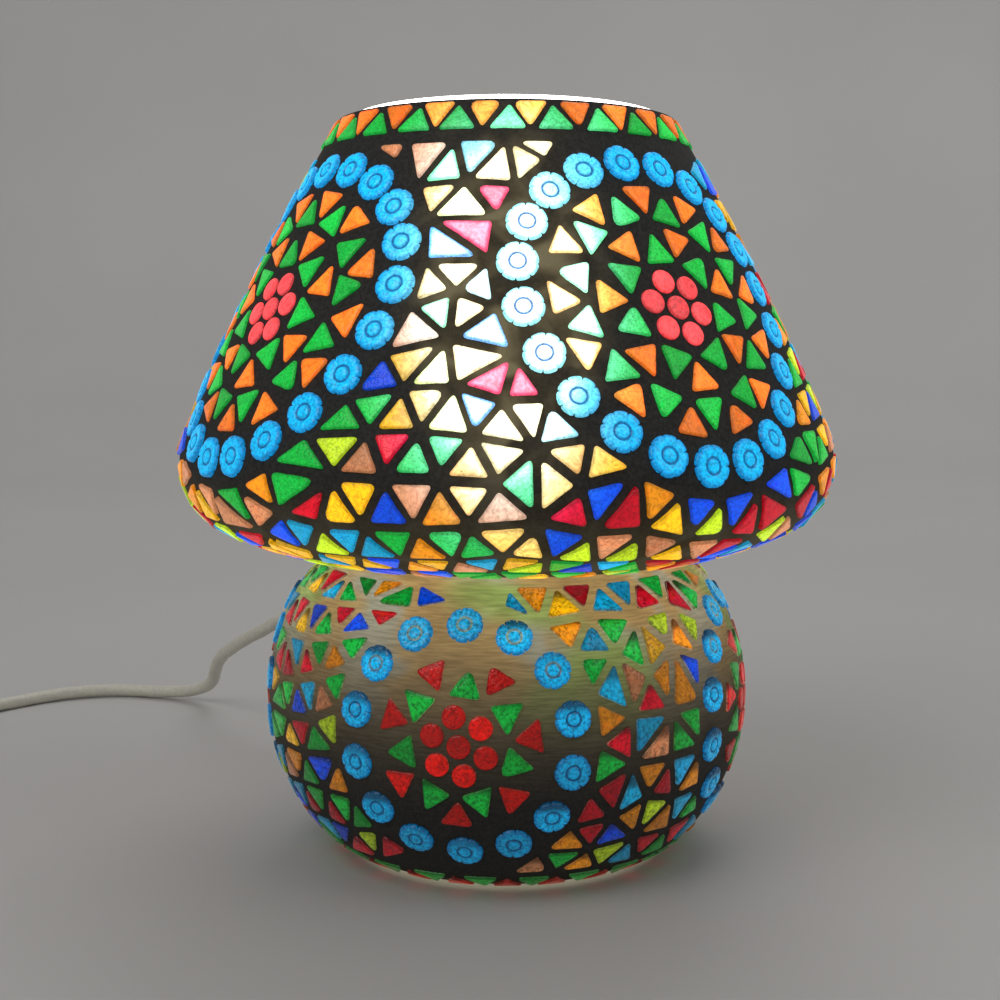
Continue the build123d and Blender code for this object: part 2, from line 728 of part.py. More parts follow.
grip_bottom = HOLDER_BOTTOM + 2 * HOLDER_WALL - GRIP_LENGTH
with BuildPart() as cord_grip:
    tube(grip_bottom, grip_bottom + GRIP_LENGTH, GRIP_RADIUS, CORD_RADIUS + RUNNING_GAP)
    tube(HOLDER_BOTTOM - GRIP_FLANGE, HOLDER_BOTTOM - RUNNING_GAP, 1.5 * GRIP_RADIUS, 0.9 * GRIP_RADIUS)
save("cord_grip", cord_grip)


def clamp_ring(bottom):
    """Adds a knurled ring that screws along the lampholder's shell."""
    with BuildSketch(Plane.XY.offset(bottom)) as knurled:
        Circle(RING_RADIUS)
        Circle(HOLDER_RADIUS + RUNNING_GAP, mode=Mode.SUBTRACT)
        with PolarLocations(RING_RADIUS, RING_GRIPS):
            Circle(GRIP_NOTCH, mode=Mode.SUBTRACT)
    extrude(knurled.sketch, amount=RING_HEIGHT)


with BuildPart() as clamp_rings:
    clamp_ring(SPIDER_Z - RING_HEIGHT - TOUCH_GAP)
    clamp_ring(SPIDER_Z + SPIDER_THICKNESS + TOUCH_GAP)
save("holder_clamp_rings", clamp_rings)

with BuildPart() as holder_insulator:
    with BuildSketch(Plane.XY.offset(INSULATOR_BOTTOM)):
        Circle(INSULATOR_RADIUS)
    extrude(amount=INSULATOR_TOP - INSULATOR_BOTTOM)
    with BuildSketch(Plane.XY.offset(INSULATOR_FLOOR)):
        Circle(CONTACT_SHELL_RADIUS + RUNNING_GAP)
    extrude(amount=INSULATOR_TOP - INSULATOR_FLOOR, mode=Mode.SUBTRACT)
save("holder_insulator", holder_insulator)

with BuildPart() as screw_shell:
    tube(CONTACT_SHELL_BOTTOM, CONTACT_SHELL_TOP, CONTACT_SHELL_RADIUS, THREAD_RADIUS + 1.5 * RUNNING_GAP)
save("holder_screw_shell", screw_shell)


def leaf_side(drop):
    """Adds one side of the sprung leaf to the open BuildLine, lowered by drop. It clears the bulb's tip."""
    low = (-9.0, INSULATOR_FLOOR + LEAF_THICKNESS + TOUCH_GAP - drop)
    high = (-2.0, BULB_TIP - 2 * LEAF_THICKNESS - drop)
    tip = (3.0, BULB_TIP - 2 * LEAF_THICKNESS - drop)
    return Spline(low, high, tip, tangents=((1, 0), (1, -0.3)))


with BuildPart() as centre_contact:
    with BuildSketch(Plane.XZ.offset(-0.5 * LEAF_WIDTH)):
        with BuildLine():
            upper_leaf = leaf_side(0.0)
            lower_leaf = leaf_side(LEAF_THICKNESS)
            Line(upper_leaf @ 0, lower_leaf @ 0)
            Line(upper_leaf @ 1, lower_leaf @ 1)
        make_face()
    extrude(amount=LEAF_WIDTH)
save("holder_centre_contact", centre_contact)

terminal_plane = Plane.XY.offset(INSULATOR_BOTTOM - TERMINAL_LENGTH - RUNNING_GAP)
with BuildPart() as terminal_screws:
    with BuildSketch(terminal_plane):
        with Locations((-TERMINAL_OFFSET, 0), (TERMINAL_OFFSET, 0)):
            Circle(TERMINAL_RADIUS)
    extrude(amount=TERMINAL_LENGTH)
    with BuildSketch(terminal_plane):
        with Locations((-TERMINAL_OFFSET, 0), (TERMINAL_OFFSET, 0)):
            Rectangle(SCREW_SLOT, 1.7 * TERMINAL_RADIUS)
    extrude(amount=SCREW_SLOT, mode=Mode.SUBTRACT)
save("terminal_screws", terminal_screws)

# ---------------------------------------------------------------- bulb

with BuildPart() as bulb_contact:
    with BuildSketch(Plane.XY.offset(BULB_TIP)):
        Circle(BULB_CONTACT_RADIUS)
    extrude(amount=BULB_CONTACT_HEIGHT)
    fillet(bulb_contact.edges().sort_by(Axis.Z)[0], 0.7 * BULB_CONTACT_HEIGHT)
save("bulb_centre_contact", bulb_contact)

with BuildPart() as bulb_insulator:
    with BuildSketch(Plane.XY.offset(BULB_TIP + BULB_CONTACT_HEIGHT + TOUCH_GAP)):
        Circle(BULB_INSULATOR_TIP)
    with BuildSketch(Plane.XY.offset(BULB_CAP_START - RUNNING_GAP)):
        Circle(BULB_INSULATOR_RADIUS)
    loft()
save("bulb_insulator", bulb_insulator)

bulb_cap_top = BULB_CAP_START + THREAD_TURNS * THREAD_PITCH + CAP_SKIRT
thread_profile = []
for k in range(THREAD_TURNS * THREAD_STEPS + 1):
    wave = 0.5 * (1 - math.cos(2 * math.pi * k / THREAD_STEPS))
    height = BULB_CAP_START + k * THREAD_PITCH / THREAD_STEPS
    thread_profile.append((THREAD_RADIUS - THREAD_DEPTH * (1 - wave), height))
cap_inner = THREAD_RADIUS - THREAD_DEPTH - CAP_WALL
with BuildPart() as bulb_cap:
    with BuildSketch(Plane.XZ):
        with BuildLine():
            threads = Spline(*thread_profile)
            Polyline(
                threads @ 1,
                (THREAD_RADIUS - THREAD_DEPTH, bulb_cap_top),
                (cap_inner, bulb_cap_top),
                (cap_inner, BULB_CAP_START),
                threads @ 0,
            )
        make_face()
    revolve(axis=Axis.Z)
save("bulb_screw_cap", bulb_cap)


def housing_side(inset):
    """Adds the housing's curved side to the open BuildLine, moved inwards."""
    foot = (HOUSING_NECK - inset, bulb_cap_top + TOUCH_GAP)
    shoulder = (HOUSING_NECK - inset, bulb_cap_top + HOUSING_NECK_LENGTH)
    rim = (HOUSING_TOP_RADIUS - inset, GLOBE_SEAT)
    Line(foot, shoulder)
    Spline(shoulder, rim, tangents=((0, 1), (0.35, 1)))
    return foot, rim


with BuildPart() as bulb_housing:
    with BuildSketch(Plane.XZ):
        with BuildLine():
            outer_foot, outer_rim = housing_side(0.0)
            inner_foot, inner_rim = housing_side(HOUSING_WALL)
            Line(outer_foot, inner_foot)
            Line(outer_rim, inner_rim)
        make_face()
    revolve(axis=Axis.Z)
save("bulb_housing", bulb_housing)

edge_beta = -math.degrees(math.asin((GLOBE_CENTRE - GLOBE_SEAT - TOUCH_GAP) / GLOBE_RADIUS))
with BuildPart() as bulb_globe:
    with BuildSketch(Plane.XZ):
        with BuildLine():
            outer_globe = CenterArc((0, GLOBE_CENTRE), GLOBE_RADIUS, edge_beta, 90 - edge_beta)
            inner_globe = CenterArc((0, GLOBE_CENTRE), GLOBE_RADIUS - GLOBE_WALL, edge_beta, 90 - edge_beta)
            Line(outer_globe @ 0, inner_globe @ 0)
            Line(outer_globe @ 1, inner_globe @ 1)
        make_face()
    revolve(axis=Axis.Z)
save("bulb_globe", bulb_globe)

with BuildPart() as led_board:
    with BuildSketch(Plane.XY.offset(LED_BOARD_Z)):
        Circle(LED_BOARD_RADIUS)
        Circle(WIRE_HOLE, mode=Mode.SUBTRACT)
    extrude(amount=LED_BOARD_THICKNESS)
save("led_board", led_board)

with BuildPart() as led_chips:
    with BuildSketch(Plane.XY.offset(LED_BOARD_Z + LED_BOARD_THICKNESS + TOUCH_GAP)):
        with PolarLocations(LED_RING, LED_COUNT):
            Rectangle(LED_LENGTH, LED_WIDTH)
    extrude(amount=LED_HEIGHT)
save("led_chips", led_chips)

with BuildPart() as led_driver:
    with BuildSketch(Plane.XY.offset(DRIVER_BOTTOM)):
        Rectangle(DRIVER_WIDTH, LED_BOARD_THICKNESS)
    extrude(amount=DRIVER_HEIGHT)
save("led_driver_board", led_driver)

# ---------------------------------------------------------------- cord

hole_out = cord_hole.z_dir
with BuildPart() as grommet:
    with BuildSketch(cord_hole.offset(-GLASS_WALL - GROMMET_FLANGE)):
        Circle(CORD_HOLE_RADIUS - RUNNING_GAP)
        Circle(CORD_RADIUS + RUNNING_GAP, mode=Mode.SUBTRACT)
    extrude(amount=GLASS_WALL + GROMMET_FLANGE + GROMMET_SEAT)
    with BuildSketch(cord_hole.offset(GROMMET_SEAT)):
        Circle(GROMMET_RADIUS)
        Circle(CORD_RADIUS + RUNNING_GAP, mode=Mode.SUBTRACT)
    extrude(amount=GROMMET_FLANGE)
    fillet(grommet.faces().sort_by(Axis((0, 0, 0), hole_out))[-1].edges(), 0.3 * GROMMET_FLANGE)
save("cord_grommet", grommet)


def along_hole(distance):
    """Point on the axis of the cord's hole."""
    return tuple(cord_hole.origin + hole_out * distance)


cord_z = CORD_RADIUS + 3 * RUNNING_GAP
switch_x, switch_y, switch_z = SWITCH_CENTRE
switch_back = switch_y + SWITCH_LENGTH / 2
switch_front = switch_y - SWITCH_LENGTH / 2
plug_x, plug_y, plug_z = PLUG_CENTRE
plug_back = plug_y + PLUG_LENGTH / 2
plug_front = plug_y - PLUG_LENGTH / 2

with BuildPart() as lamp_cord:
    with BuildLine() as lamp_cord_path:
        drop = Line((0, 0, HOLDER_BOTTOM + 6), (0, 0, HOLDER_BOTTOM - 12))
        rise = Line(along_hole(-9), along_hole(GROMMET_SEAT + 2 * GROMMET_FLANGE))
        Spline(drop @ 1, (1, 16, 40), (-6, 38, 46), rise @ 0, tangents=((0, 0, -1), hole_out))
        arrive = Line((switch_x, switch_back + 8, switch_z), (switch_x, switch_back - CORD_ENTRY, switch_z))
        landing = (*CORD_LANDING, cord_z)
        landing_way = (-1, 0.25, 0)
        falling = ((-42, 88, 80), (-86, 110, 49), (-121, 149, 21))
        turning = ((-197, 170, cord_z), (-220, 146, cord_z + 0.8))
        Spline(rise @ 1, *falling, landing, tangents=(hole_out, landing_way))
        Spline(landing, *turning, arrive @ 0, tangents=(landing_way, (0, -1, 0)))
    with BuildSketch(Plane(origin=drop @ 0, z_dir=(0, 0, -1))):
        Circle(CORD_RADIUS)
    sweep(path=lamp_cord_path.wire())
save("lamp_cord", lamp_cord)

with BuildPart() as mains_cord:
    with BuildLine() as mains_cord_path:
        leave = Line((switch_x, switch_front + CORD_ENTRY, switch_z), (switch_x, switch_front - 4, switch_z))
        enter = Line((plug_x, plug_back + 6, plug_z), (plug_x, plug_back - CORD_ENTRY, plug_z))
        Spline(leave @ 1, (-225, 22, 4.5), (-217, 2, 4.5), enter @ 0, tangents=((0, -1, 0), (0, -1, 0)))
    with BuildSketch(Plane(origin=leave @ 0, z_dir=(0, -1, 0))):
        Circle(CORD_RADIUS)
    sweep(path=mains_cord_path.wire())
save("mains_cord", mains_cord)

# ---------------------------------------------------------------- inline switch

switch_plane = Plane(origin=(switch_x, switch_y, 0))


def switch_half(bottom, top, open_bottom):
    """Adds a hollow half of the switch's housing to the open part."""
    with BuildSketch(switch_plane.offset(bottom)) as shell:
        RectangleRounded(SWITCH_WIDTH, SWITCH_LENGTH, SWITCH_CORNER)
    extrude(shell.sketch, amount=top - bottom)
    hollow_bottom = bottom if open_bottom else bottom + SWITCH_WALL
    hollow_top = top - SWITCH_WALL if open_bottom else top
    inner_width = SWITCH_WIDTH - 2 * SWITCH_WALL
    inner_length = SWITCH_LENGTH - 2 * SWITCH_WALL
    with BuildSketch(switch_plane.offset(hollow_bottom)) as hollow:
        RectangleRounded(inner_width, inner_length, SWITCH_CORNER - SWITCH_WALL)
    extrude(hollow.sketch, amount=hollow_top - hollow_bottom, mode=Mode.SUBTRACT)
    with BuildSketch(Plane.XZ.offset(-switch_y - SWITCH_LENGTH)) as cord_way:
        with Locations((switch_x, switch_z)):
            Circle(CORD_RADIUS + RUNNING_GAP)
    extrude(cord_way.sketch, amount=2 * SWITCH_LENGTH, mode=Mode.SUBTRACT)


with BuildPart() as switch_lower:
    switch_half(0.0, switch_z - TOUCH_GAP, False)
    with BuildSketch(switch_plane):
        with Locations(*SWITCH_SCREWS):
            Circle(SCREW_RADIUS + RUNNING_GAP)
    extrude(amount=SWITCH_WALL, mode=Mode.SUBTRACT)
    fillet(switch_lower.faces().sort_by(Axis.Z)[0].outer_wire().edges(), 1.5)
save("switch_lower_half", switch_lower)

with BuildPart() as switch_upper:
    switch_half(switch_z + TOUCH_GAP, SWITCH_HEIGHT, True)
    with BuildSketch(switch_plane.offset(SWITCH_HEIGHT - 2 * SWITCH_WALL)):
        Rectangle(ROCKER_WIDTH + 0.5, ROCKER_LENGTH + 0.7)
    extrude(amount=3 * SWITCH_WALL, mode=Mode.SUBTRACT)
    fillet(switch_upper.faces().sort_by(Axis.Z)[-1].outer_wire().edges(), 1.8)
save("switch_upper_half", switch_upper)

with BuildPart() as switch_screws:
    with BuildSketch(switch_plane.offset(SCREW_SUNK)):
        with Locations(*SWITCH_SCREWS):
            Circle(SCREW_RADIUS)
    extrude(amount=switch_z - 2 * SCREW_SUNK)
    with BuildSketch(switch_plane.offset(SCREW_SUNK)):
        with Locations(*SWITCH_SCREWS):
            Rectangle(1.5 * SCREW_RADIUS, SCREW_SLOT)
    extrude(amount=SCREW_SLOT, mode=Mode.SUBTRACT)
save("switch_screws", switch_screws)

rocker_axis = Axis((switch_x, switch_y, ROCKER_PIVOT), (1, 0, 0))
with BuildPart() as level_rocker:
    with BuildSketch(Plane.YZ.offset(switch_x - ROCKER_WIDTH / 2)):
        with BuildLine():
            pivot = (switch_y, ROCKER_PIVOT)
            tail = CenterArc(pivot, ROCKER_LENGTH / 2, -ROCKER_END_ANGLE, ROCKER_END_SWEEP)
            nose = CenterArc(pivot, ROCKER_LENGTH / 2, 180 + ROCKER_END_ANGLE, -ROCKER_END_SWEEP)
            ThreePointArc(tail @ 1, (switch_y, ROCKER_PIVOT + ROCKER_RISE), nose @ 1)
            ThreePointArc(tail @ 0, (switch_y, ROCKER_PIVOT - ROCKER_DEPTH), nose @ 0)
        make_face()
    extrude(amount=ROCKER_WIDTH)
with BuildPart() as rocker:
    add(level_rocker.part.rotate(rocker_axis, ROCKER_TILT))
save("switch_rocker", rocker)

with BuildPart() as switch_contacts:
    for shift in (-BLADE_OFFSET, BLADE_OFFSET):
        with BuildSketch(Plane.YZ.offset(switch_x + shift - BLADE_WIDTH / 2)):
            with Locations((switch_y, SWITCH_WALL + 1.4)):
                Rectangle(BLADE_LENGTH, BLADE_THICKNESS)
            with Locations((switch_y + BLADE_LENGTH / 3, SWITCH_WALL + 2.6)):
                Rectangle(4.0, BLADE_WIDTH)
        extrude(amount=BLADE_WIDTH)
save("switch_contacts", switch_contacts)

# ---------------------------------------------------------------- plug

with BuildPart() as plug_body:
    with BuildSketch(Plane.XZ.offset(-plug_front)):
        with Locations((plug_x, plug_z)):
            RectangleRounded(PLUG_WIDTH, PLUG_HEIGHT, 0.45 * PLUG_HEIGHT)
    with BuildSketch(Plane.XZ.offset(-plug_back)):
        with Locations((plug_x, plug_z)):
            RectangleRounded(PLUG_NECK_WIDTH, PLUG_NECK_HEIGHT, 0.45 * PLUG_NECK_HEIGHT)
    loft()
    with BuildSketch(Plane.XZ.offset(-plug_back)):
        with Locations((plug_x, plug_z)):
            Circle(CORD_RADIUS + RUNNING_GAP)
    extrude(amount=CORD_ENTRY + RUNNING_GAP, mode=Mode.SUBTRACT)
    with BuildSketch(Plane.XZ.offset(-plug_front)):
        with Locations((plug_x, plug_z)):
            with GridLocations(PLUG_PIN_SPACING, 1, 2, 1):
                Circle(PLUG_PIN_ROOT_RADIUS + PIN_GAP)
    extrude(amount=-PLUG_PIN_ROOT - TOUCH_GAP, mode=Mode.SUBTRACT)
save("plug_body", plug_body)

with BuildPart() as plug_pins:
    with BuildSketch(Plane.XZ.offset(-plug_front + PIN_GAP)):
        with Locations((plug_x, plug_z)):
            with GridLocations(PLUG_PIN_SPACING, 1, 2, 1):
                Circle(PLUG_PIN_RADIUS)
    extrude(amount=PLUG_PIN_LENGTH - PIN_GAP)
    fillet(plug_pins.edges().group_by(Axis.Y)[0], 0.6 * PLUG_PIN_RADIUS)
    with BuildSketch(Plane.XZ.offset(-plug_front - PLUG_PIN_ROOT)):
        with Locations((plug_x, plug_z)):
            with GridLocations(PLUG_PIN_SPACING, 1, 2, 1):
                Circle(PLUG_PIN_ROOT_RADIUS)
    extrude(amount=PLUG_PIN_ROOT + PLUG_PIN_RADIUS)
save("plug_pins", plug_pins)
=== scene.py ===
import math

import bpy
import numpy as np
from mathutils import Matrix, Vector


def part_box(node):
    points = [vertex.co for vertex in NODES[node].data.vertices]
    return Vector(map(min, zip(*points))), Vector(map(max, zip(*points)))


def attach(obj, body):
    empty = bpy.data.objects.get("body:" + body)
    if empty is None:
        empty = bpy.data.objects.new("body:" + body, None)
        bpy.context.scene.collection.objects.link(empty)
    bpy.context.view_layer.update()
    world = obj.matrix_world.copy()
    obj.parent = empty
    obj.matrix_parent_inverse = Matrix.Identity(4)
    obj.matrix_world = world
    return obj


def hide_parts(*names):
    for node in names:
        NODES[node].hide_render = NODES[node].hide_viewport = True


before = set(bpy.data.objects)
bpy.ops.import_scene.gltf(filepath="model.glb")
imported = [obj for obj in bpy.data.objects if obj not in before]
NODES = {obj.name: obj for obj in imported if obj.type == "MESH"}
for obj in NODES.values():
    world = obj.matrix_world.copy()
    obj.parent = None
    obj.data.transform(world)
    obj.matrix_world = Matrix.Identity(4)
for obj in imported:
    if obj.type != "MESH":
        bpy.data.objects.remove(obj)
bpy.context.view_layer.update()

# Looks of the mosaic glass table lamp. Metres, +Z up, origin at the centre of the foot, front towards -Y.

MM = 0.001
rng = np.random.default_rng(31)

# ---------------------------------------------------------------- places taken from the frame

GLOBE_LOW, GLOBE_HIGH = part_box("bulb_globe")
GLOBE_RADIUS = 0.5 * (GLOBE_HIGH.x - GLOBE_LOW.x)
LIGHT = Vector((0.0, 0.0, GLOBE_HIGH.z - GLOBE_RADIUS))
GLASS_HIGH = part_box("glass_body")[1]
BASE_LOW, BASE_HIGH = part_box("base_grout")
BASE_MIDDLE = Vector((0.0, 0.0, 0.5 * (BASE_LOW.z + BASE_HIGH.z)))

# ---------------------------------------------------------------- material nodes

# Sockets of a mix node that mixes colours.
MIX_FACTOR = 0
MIX_A = 6
MIX_B = 7
MIX_RESULT = 2


class Shader:
    """A material's node tree, with a method for each kind of node used."""

    def __init__(self, name):
        self.material = bpy.data.materials.new(name)
        self.material.use_nodes = True
        self.material.cycles.emission_sampling = "NONE"  # the tiles glow, but no rays are aimed at them
        self.tree = self.material.node_tree
        self.tree.nodes.clear()
        self.output = self.tree.nodes.new("ShaderNodeOutputMaterial")

    def put(self, socket, value):
        """Sets an input socket from another socket or from a constant."""
        if isinstance(value, bpy.types.NodeSocket):
            self.tree.links.new(value, socket)
        elif isinstance(value, tuple) and len(value) == 3 and len(socket.default_value) == 4:
            socket.default_value = (*value, 1.0)
        else:
            socket.default_value = value

    def node(self, kind, inputs=(), **settings):
        """A node with its settings and numbered or named inputs."""
        node = self.tree.nodes.new(kind)
        for key, value in settings.items():
            setattr(node, key, value)
        for key, value in dict(inputs).items():
            self.put(node.inputs[key], value)
        return node

    def math(self, operation, a, b=0.0):
        """A sum, product or the like of two numbers."""
        return self.node("ShaderNodeMath", {0: a, 1: b}, operation=operation).outputs[0]

    def vector(self, operation, a, b=(0.0, 0.0, 0.0)):
        """A sum, product or the like of two vectors, or a vector's length."""
        node = self.node("ShaderNodeVectorMath", {0: a, 1: b}, operation=operation)
        return node.outputs["Value" if operation == "LENGTH" else "Vector"]

    def steps(self, value, low, high, out_low=0.0, out_high=1.0):
        """A smooth step between two values."""
        inputs = {"Value": value, "From Min": low, "From Max": high, "To Min": out_low, "To Max": out_high}
        return self.node("ShaderNodeMapRange", inputs, interpolation_type="SMOOTHSTEP").outputs[0]

    def mix(self, factor, a, b):
        """A mix of two colours."""
        node = self.node("ShaderNodeMix", data_type="RGBA")
        self.put(node.inputs[MIX_FACTOR], factor)
        self.put(node.inputs[MIX_A], a)
        self.put(node.inputs[MIX_B], b)
        return node.outputs[MIX_RESULT]

    def position(self):
        """The shaded point."""
        return self.node("ShaderNodeNewGeometry").outputs["Position"]

    def noise(self, scale, detail, vector=None, distortion=0.0):
        """Noise with a feature size of 1 / scale metres."""
        place = self.position() if vector is None else vector
        inputs = {"Vector": place, "Scale": scale, "Detail": detail, "Distortion": distortion}
        return self.node("ShaderNodeTexNoise", inputs).outputs["Fac"]

    def cells(self, scale, feature="F1"):
        """Distances in a pattern of cells 1 / scale metres across."""
        inputs = {"Vector": self.position(), "Scale": scale}
        return self.node("ShaderNodeTexVoronoi", inputs, feature=feature).outputs["Distance"]

    def stored(self, name):
        """A number stored on the mesh."""
        return self.node("ShaderNodeAttribute", attribute_name=name).outputs["Fac"]

    def height(self):
        """Height of the shaded point above the table."""
        return self.node("ShaderNodeSeparateXYZ", {0: self.position()}).outputs["Z"]

    def bump(self, value, strength, distance):
        """Fine relief, as a bent normal."""
        inputs = {"Height": value, "Strength": strength, "Distance": distance}
        return self.node("ShaderNodeBump", inputs).outputs[0]

    def surface(self, **inputs):
        """Ends the tree with one principled surface."""
        names = {key.replace("_", " ").title().replace("Ior", "IOR"): value for key, value in inputs.items()}
        shader = self.node("ShaderNodeBsdfPrincipled", names)
        self.tree.links.new(shader.outputs[0], self.output.inputs["Surface"])
        return self.material


# ---------------------------------------------------------------- the bulb's light as seen through the glass

SPOT_STRETCH = 0.52  # the glare is taller than it is wide
SPOT_WIDTH = 0.030
FULL_NEAR = 0.075  # distance from the bulb's centre at which the nearness is 1
LEAST_DISTANCE = 0.03


def glare(s):
    """(glare, nearness): how close the line of sight passes to the bulb, and how near it the surface is."""
    squeeze = (1.0, 1.0, SPOT_STRETCH)
    geometry = s.node("ShaderNodeNewGeometry")
    away = s.vector("SUBTRACT", geometry.outputs["Position"], tuple(LIGHT))
    squeezed = s.vector("MULTIPLY", away, squeeze)
    sight = s.vector("NORMALIZE", s.vector("MULTIPLY", geometry.outputs["Incoming"], squeeze))
    miss = s.vector("LENGTH", s.vector("CROSS_PRODUCT", squeezed, sight))
    ratio = s.math("DIVIDE", miss, SPOT_WIDTH)
    seen = s.math("EXPONENT", s.math("MULTIPLY", s.math("MULTIPLY", ratio, ratio), -1.0))
    distance = s.vector("LENGTH", away)
    near = s.math("DIVIDE", FULL_NEAR, s.math("MAXIMUM", distance, LEAST_DISTANCE))
    return seen, s.math("MULTIPLY", near, near)


# Colour of a tile lit from behind, its colour where the bulb glares through it, and how white it burns out.
GLASS = {
    "orange": ((1.0, 0.22, 0.016), (1.0, 0.58, 0.10), 0.70),
    "yellow": ((1.0, 0.55, 0.006), (1.0, 0.93, 0.55), 1.0),
    "amber": ((0.95, 0.33, 0.006), (1.0, 0.85, 0.40), 1.0),
    "lime": ((0.58, 0.80, 0.015), (0.85, 1.0, 0.45), 1.0),
    "green": ((0.003, 0.44, 0.045), (0.20, 0.92, 0.50), 0.80),
    "turquoise": ((0.004, 0.42, 0.72), (0.45, 0.95, 1.0), 1.0),
    "cobalt": ((0.001, 0.075, 0.75), (0.06, 0.45, 1.0), 0.60),
    "blue": ((0.001, 0.50, 0.92), (0.28, 0.95, 1.0), 0.9),
    "ruby": ((0.62, 0.001, 0.016), (0.95, 0.03, 0.16), 0.22),
    "red": ((0.75, 0.006, 0.001), (1.0, 0.10, 0.03), 0.2),
    "pink": ((0.92, 0.075, 0.085), (1.0, 0.30, 0.24), 0.3),
    "peach": ((0.66, 0.26, 0.11), (1.0, 0.86, 0.72), 1.0),
}
GRAINY = ("green", "turquoise", "cobalt", "blue", "lime")

# Sizes of the marks in the glass, as the number of them in a metre.
FINE_GRAIN = {"shade": 1500.0, "base": 1000.0}
STREAKY_GRAIN = 420.0
PETAL_GRAIN = 1300.0
CLOUDS = 160.0
FACETS = 1100.0
BUBBLES = 330.0

# Steps are (from, to) or (from, to, value at from, value at to).
GRAIN_STEP = {"shade": (0.28, 0.66, 0.66, 1.20), "base": (0.28, 0.66, 0.34, 1.36)}
PETAL_GRAIN_STEP = {"shade": (0.28, 0.68, 0.60, 1.25), "base": (0.28, 0.68, 0.36, 1.25)}
FACET_STEP = (0.10, 0.42)
FACET_DARK = {"shade": 0.80, "base": 0.62}
FACET_LIGHT = 1.10
BUBBLE_STEP = (0.045, 0.075, 0.35, 1.0)
CLOUD_STEP = (0.3, 0.7, 0.80, 1.12)
RICH_STEP = (0.42, 0.75, 0.0, 0.5)  # parts of a tile where its colour is deeper
RIM_STEP = (0.0, 0.30, 0.55, 1.0)  # the cut edge is darker
HEAT_STEP = (0.10, 0.50)
BURN_STEP = (0.34, 0.62)
BURN_RIM_STEP = (0.02, 0.45, 0.30, 1.0)  # the rim of a burnt-out tile keeps its colour
DEAL_SPREAD = 0.16  # how differently two tiles in the same light burn out
SHADE_LEVEL = 0.85
SHADE_LEVEL_NEAR = 0.45
SHADE_DEAL_STEP = (0.0, 1.0, 0.72, 1.18)
HEAT_BOOST = 0.6
BURN_BOOST = 2.6
BASE_LEVEL_STEP = (0.012, 0.092, 0.42, 1.0)  # by height
BASE_DEAL_STEP = (0.0, 1.0, 0.36, 0.90)
BURNT_WHITE = (1.0, 0.97, 0.90)
LIT_GROUT_LINE_STEP = (0.004, 0.05, 0.8, 0.0)  # grout smeared on the edges of the base's tiles, painted pale as lit by the shade's light
# painted light on that grout, stronger higher up on the shoulder
LIT_GROUT_LINE_HEIGHT_STEP = (0.035, 0.08, 0.25, 1.0)
LIT_GROUT_LINE_COLOUR = (0.55, 0.50, 0.30)
SKIN_SHARE = 0.28  # of the colour, in reflected light
SHADOWED_STEP = (0.30, 0.62, 0.0, 0.90)  # the share of tiles with a shadow
SHADOW_STEP = (0.25, 0.60)
SHADOW_RAGGED = 0.9


def dark_top(s, grain):
    """Shadow at the upper end of some tiles, where the glass lies deeper in the grout."""
    ragged = s.math("MULTIPLY", s.math("SUBTRACT", grain, 0.5), SHADOW_RAGGED)
    rise = s.math("ADD", s.stored("rise"), ragged)
    some = s.steps(s.stored("deal"), *SHADOWED_STEP)
    shadow = s.math("MULTIPLY", s.steps(rise, *SHADOW_STEP), some)
    return s.math("SUBTRACT", 1.0, shadow)


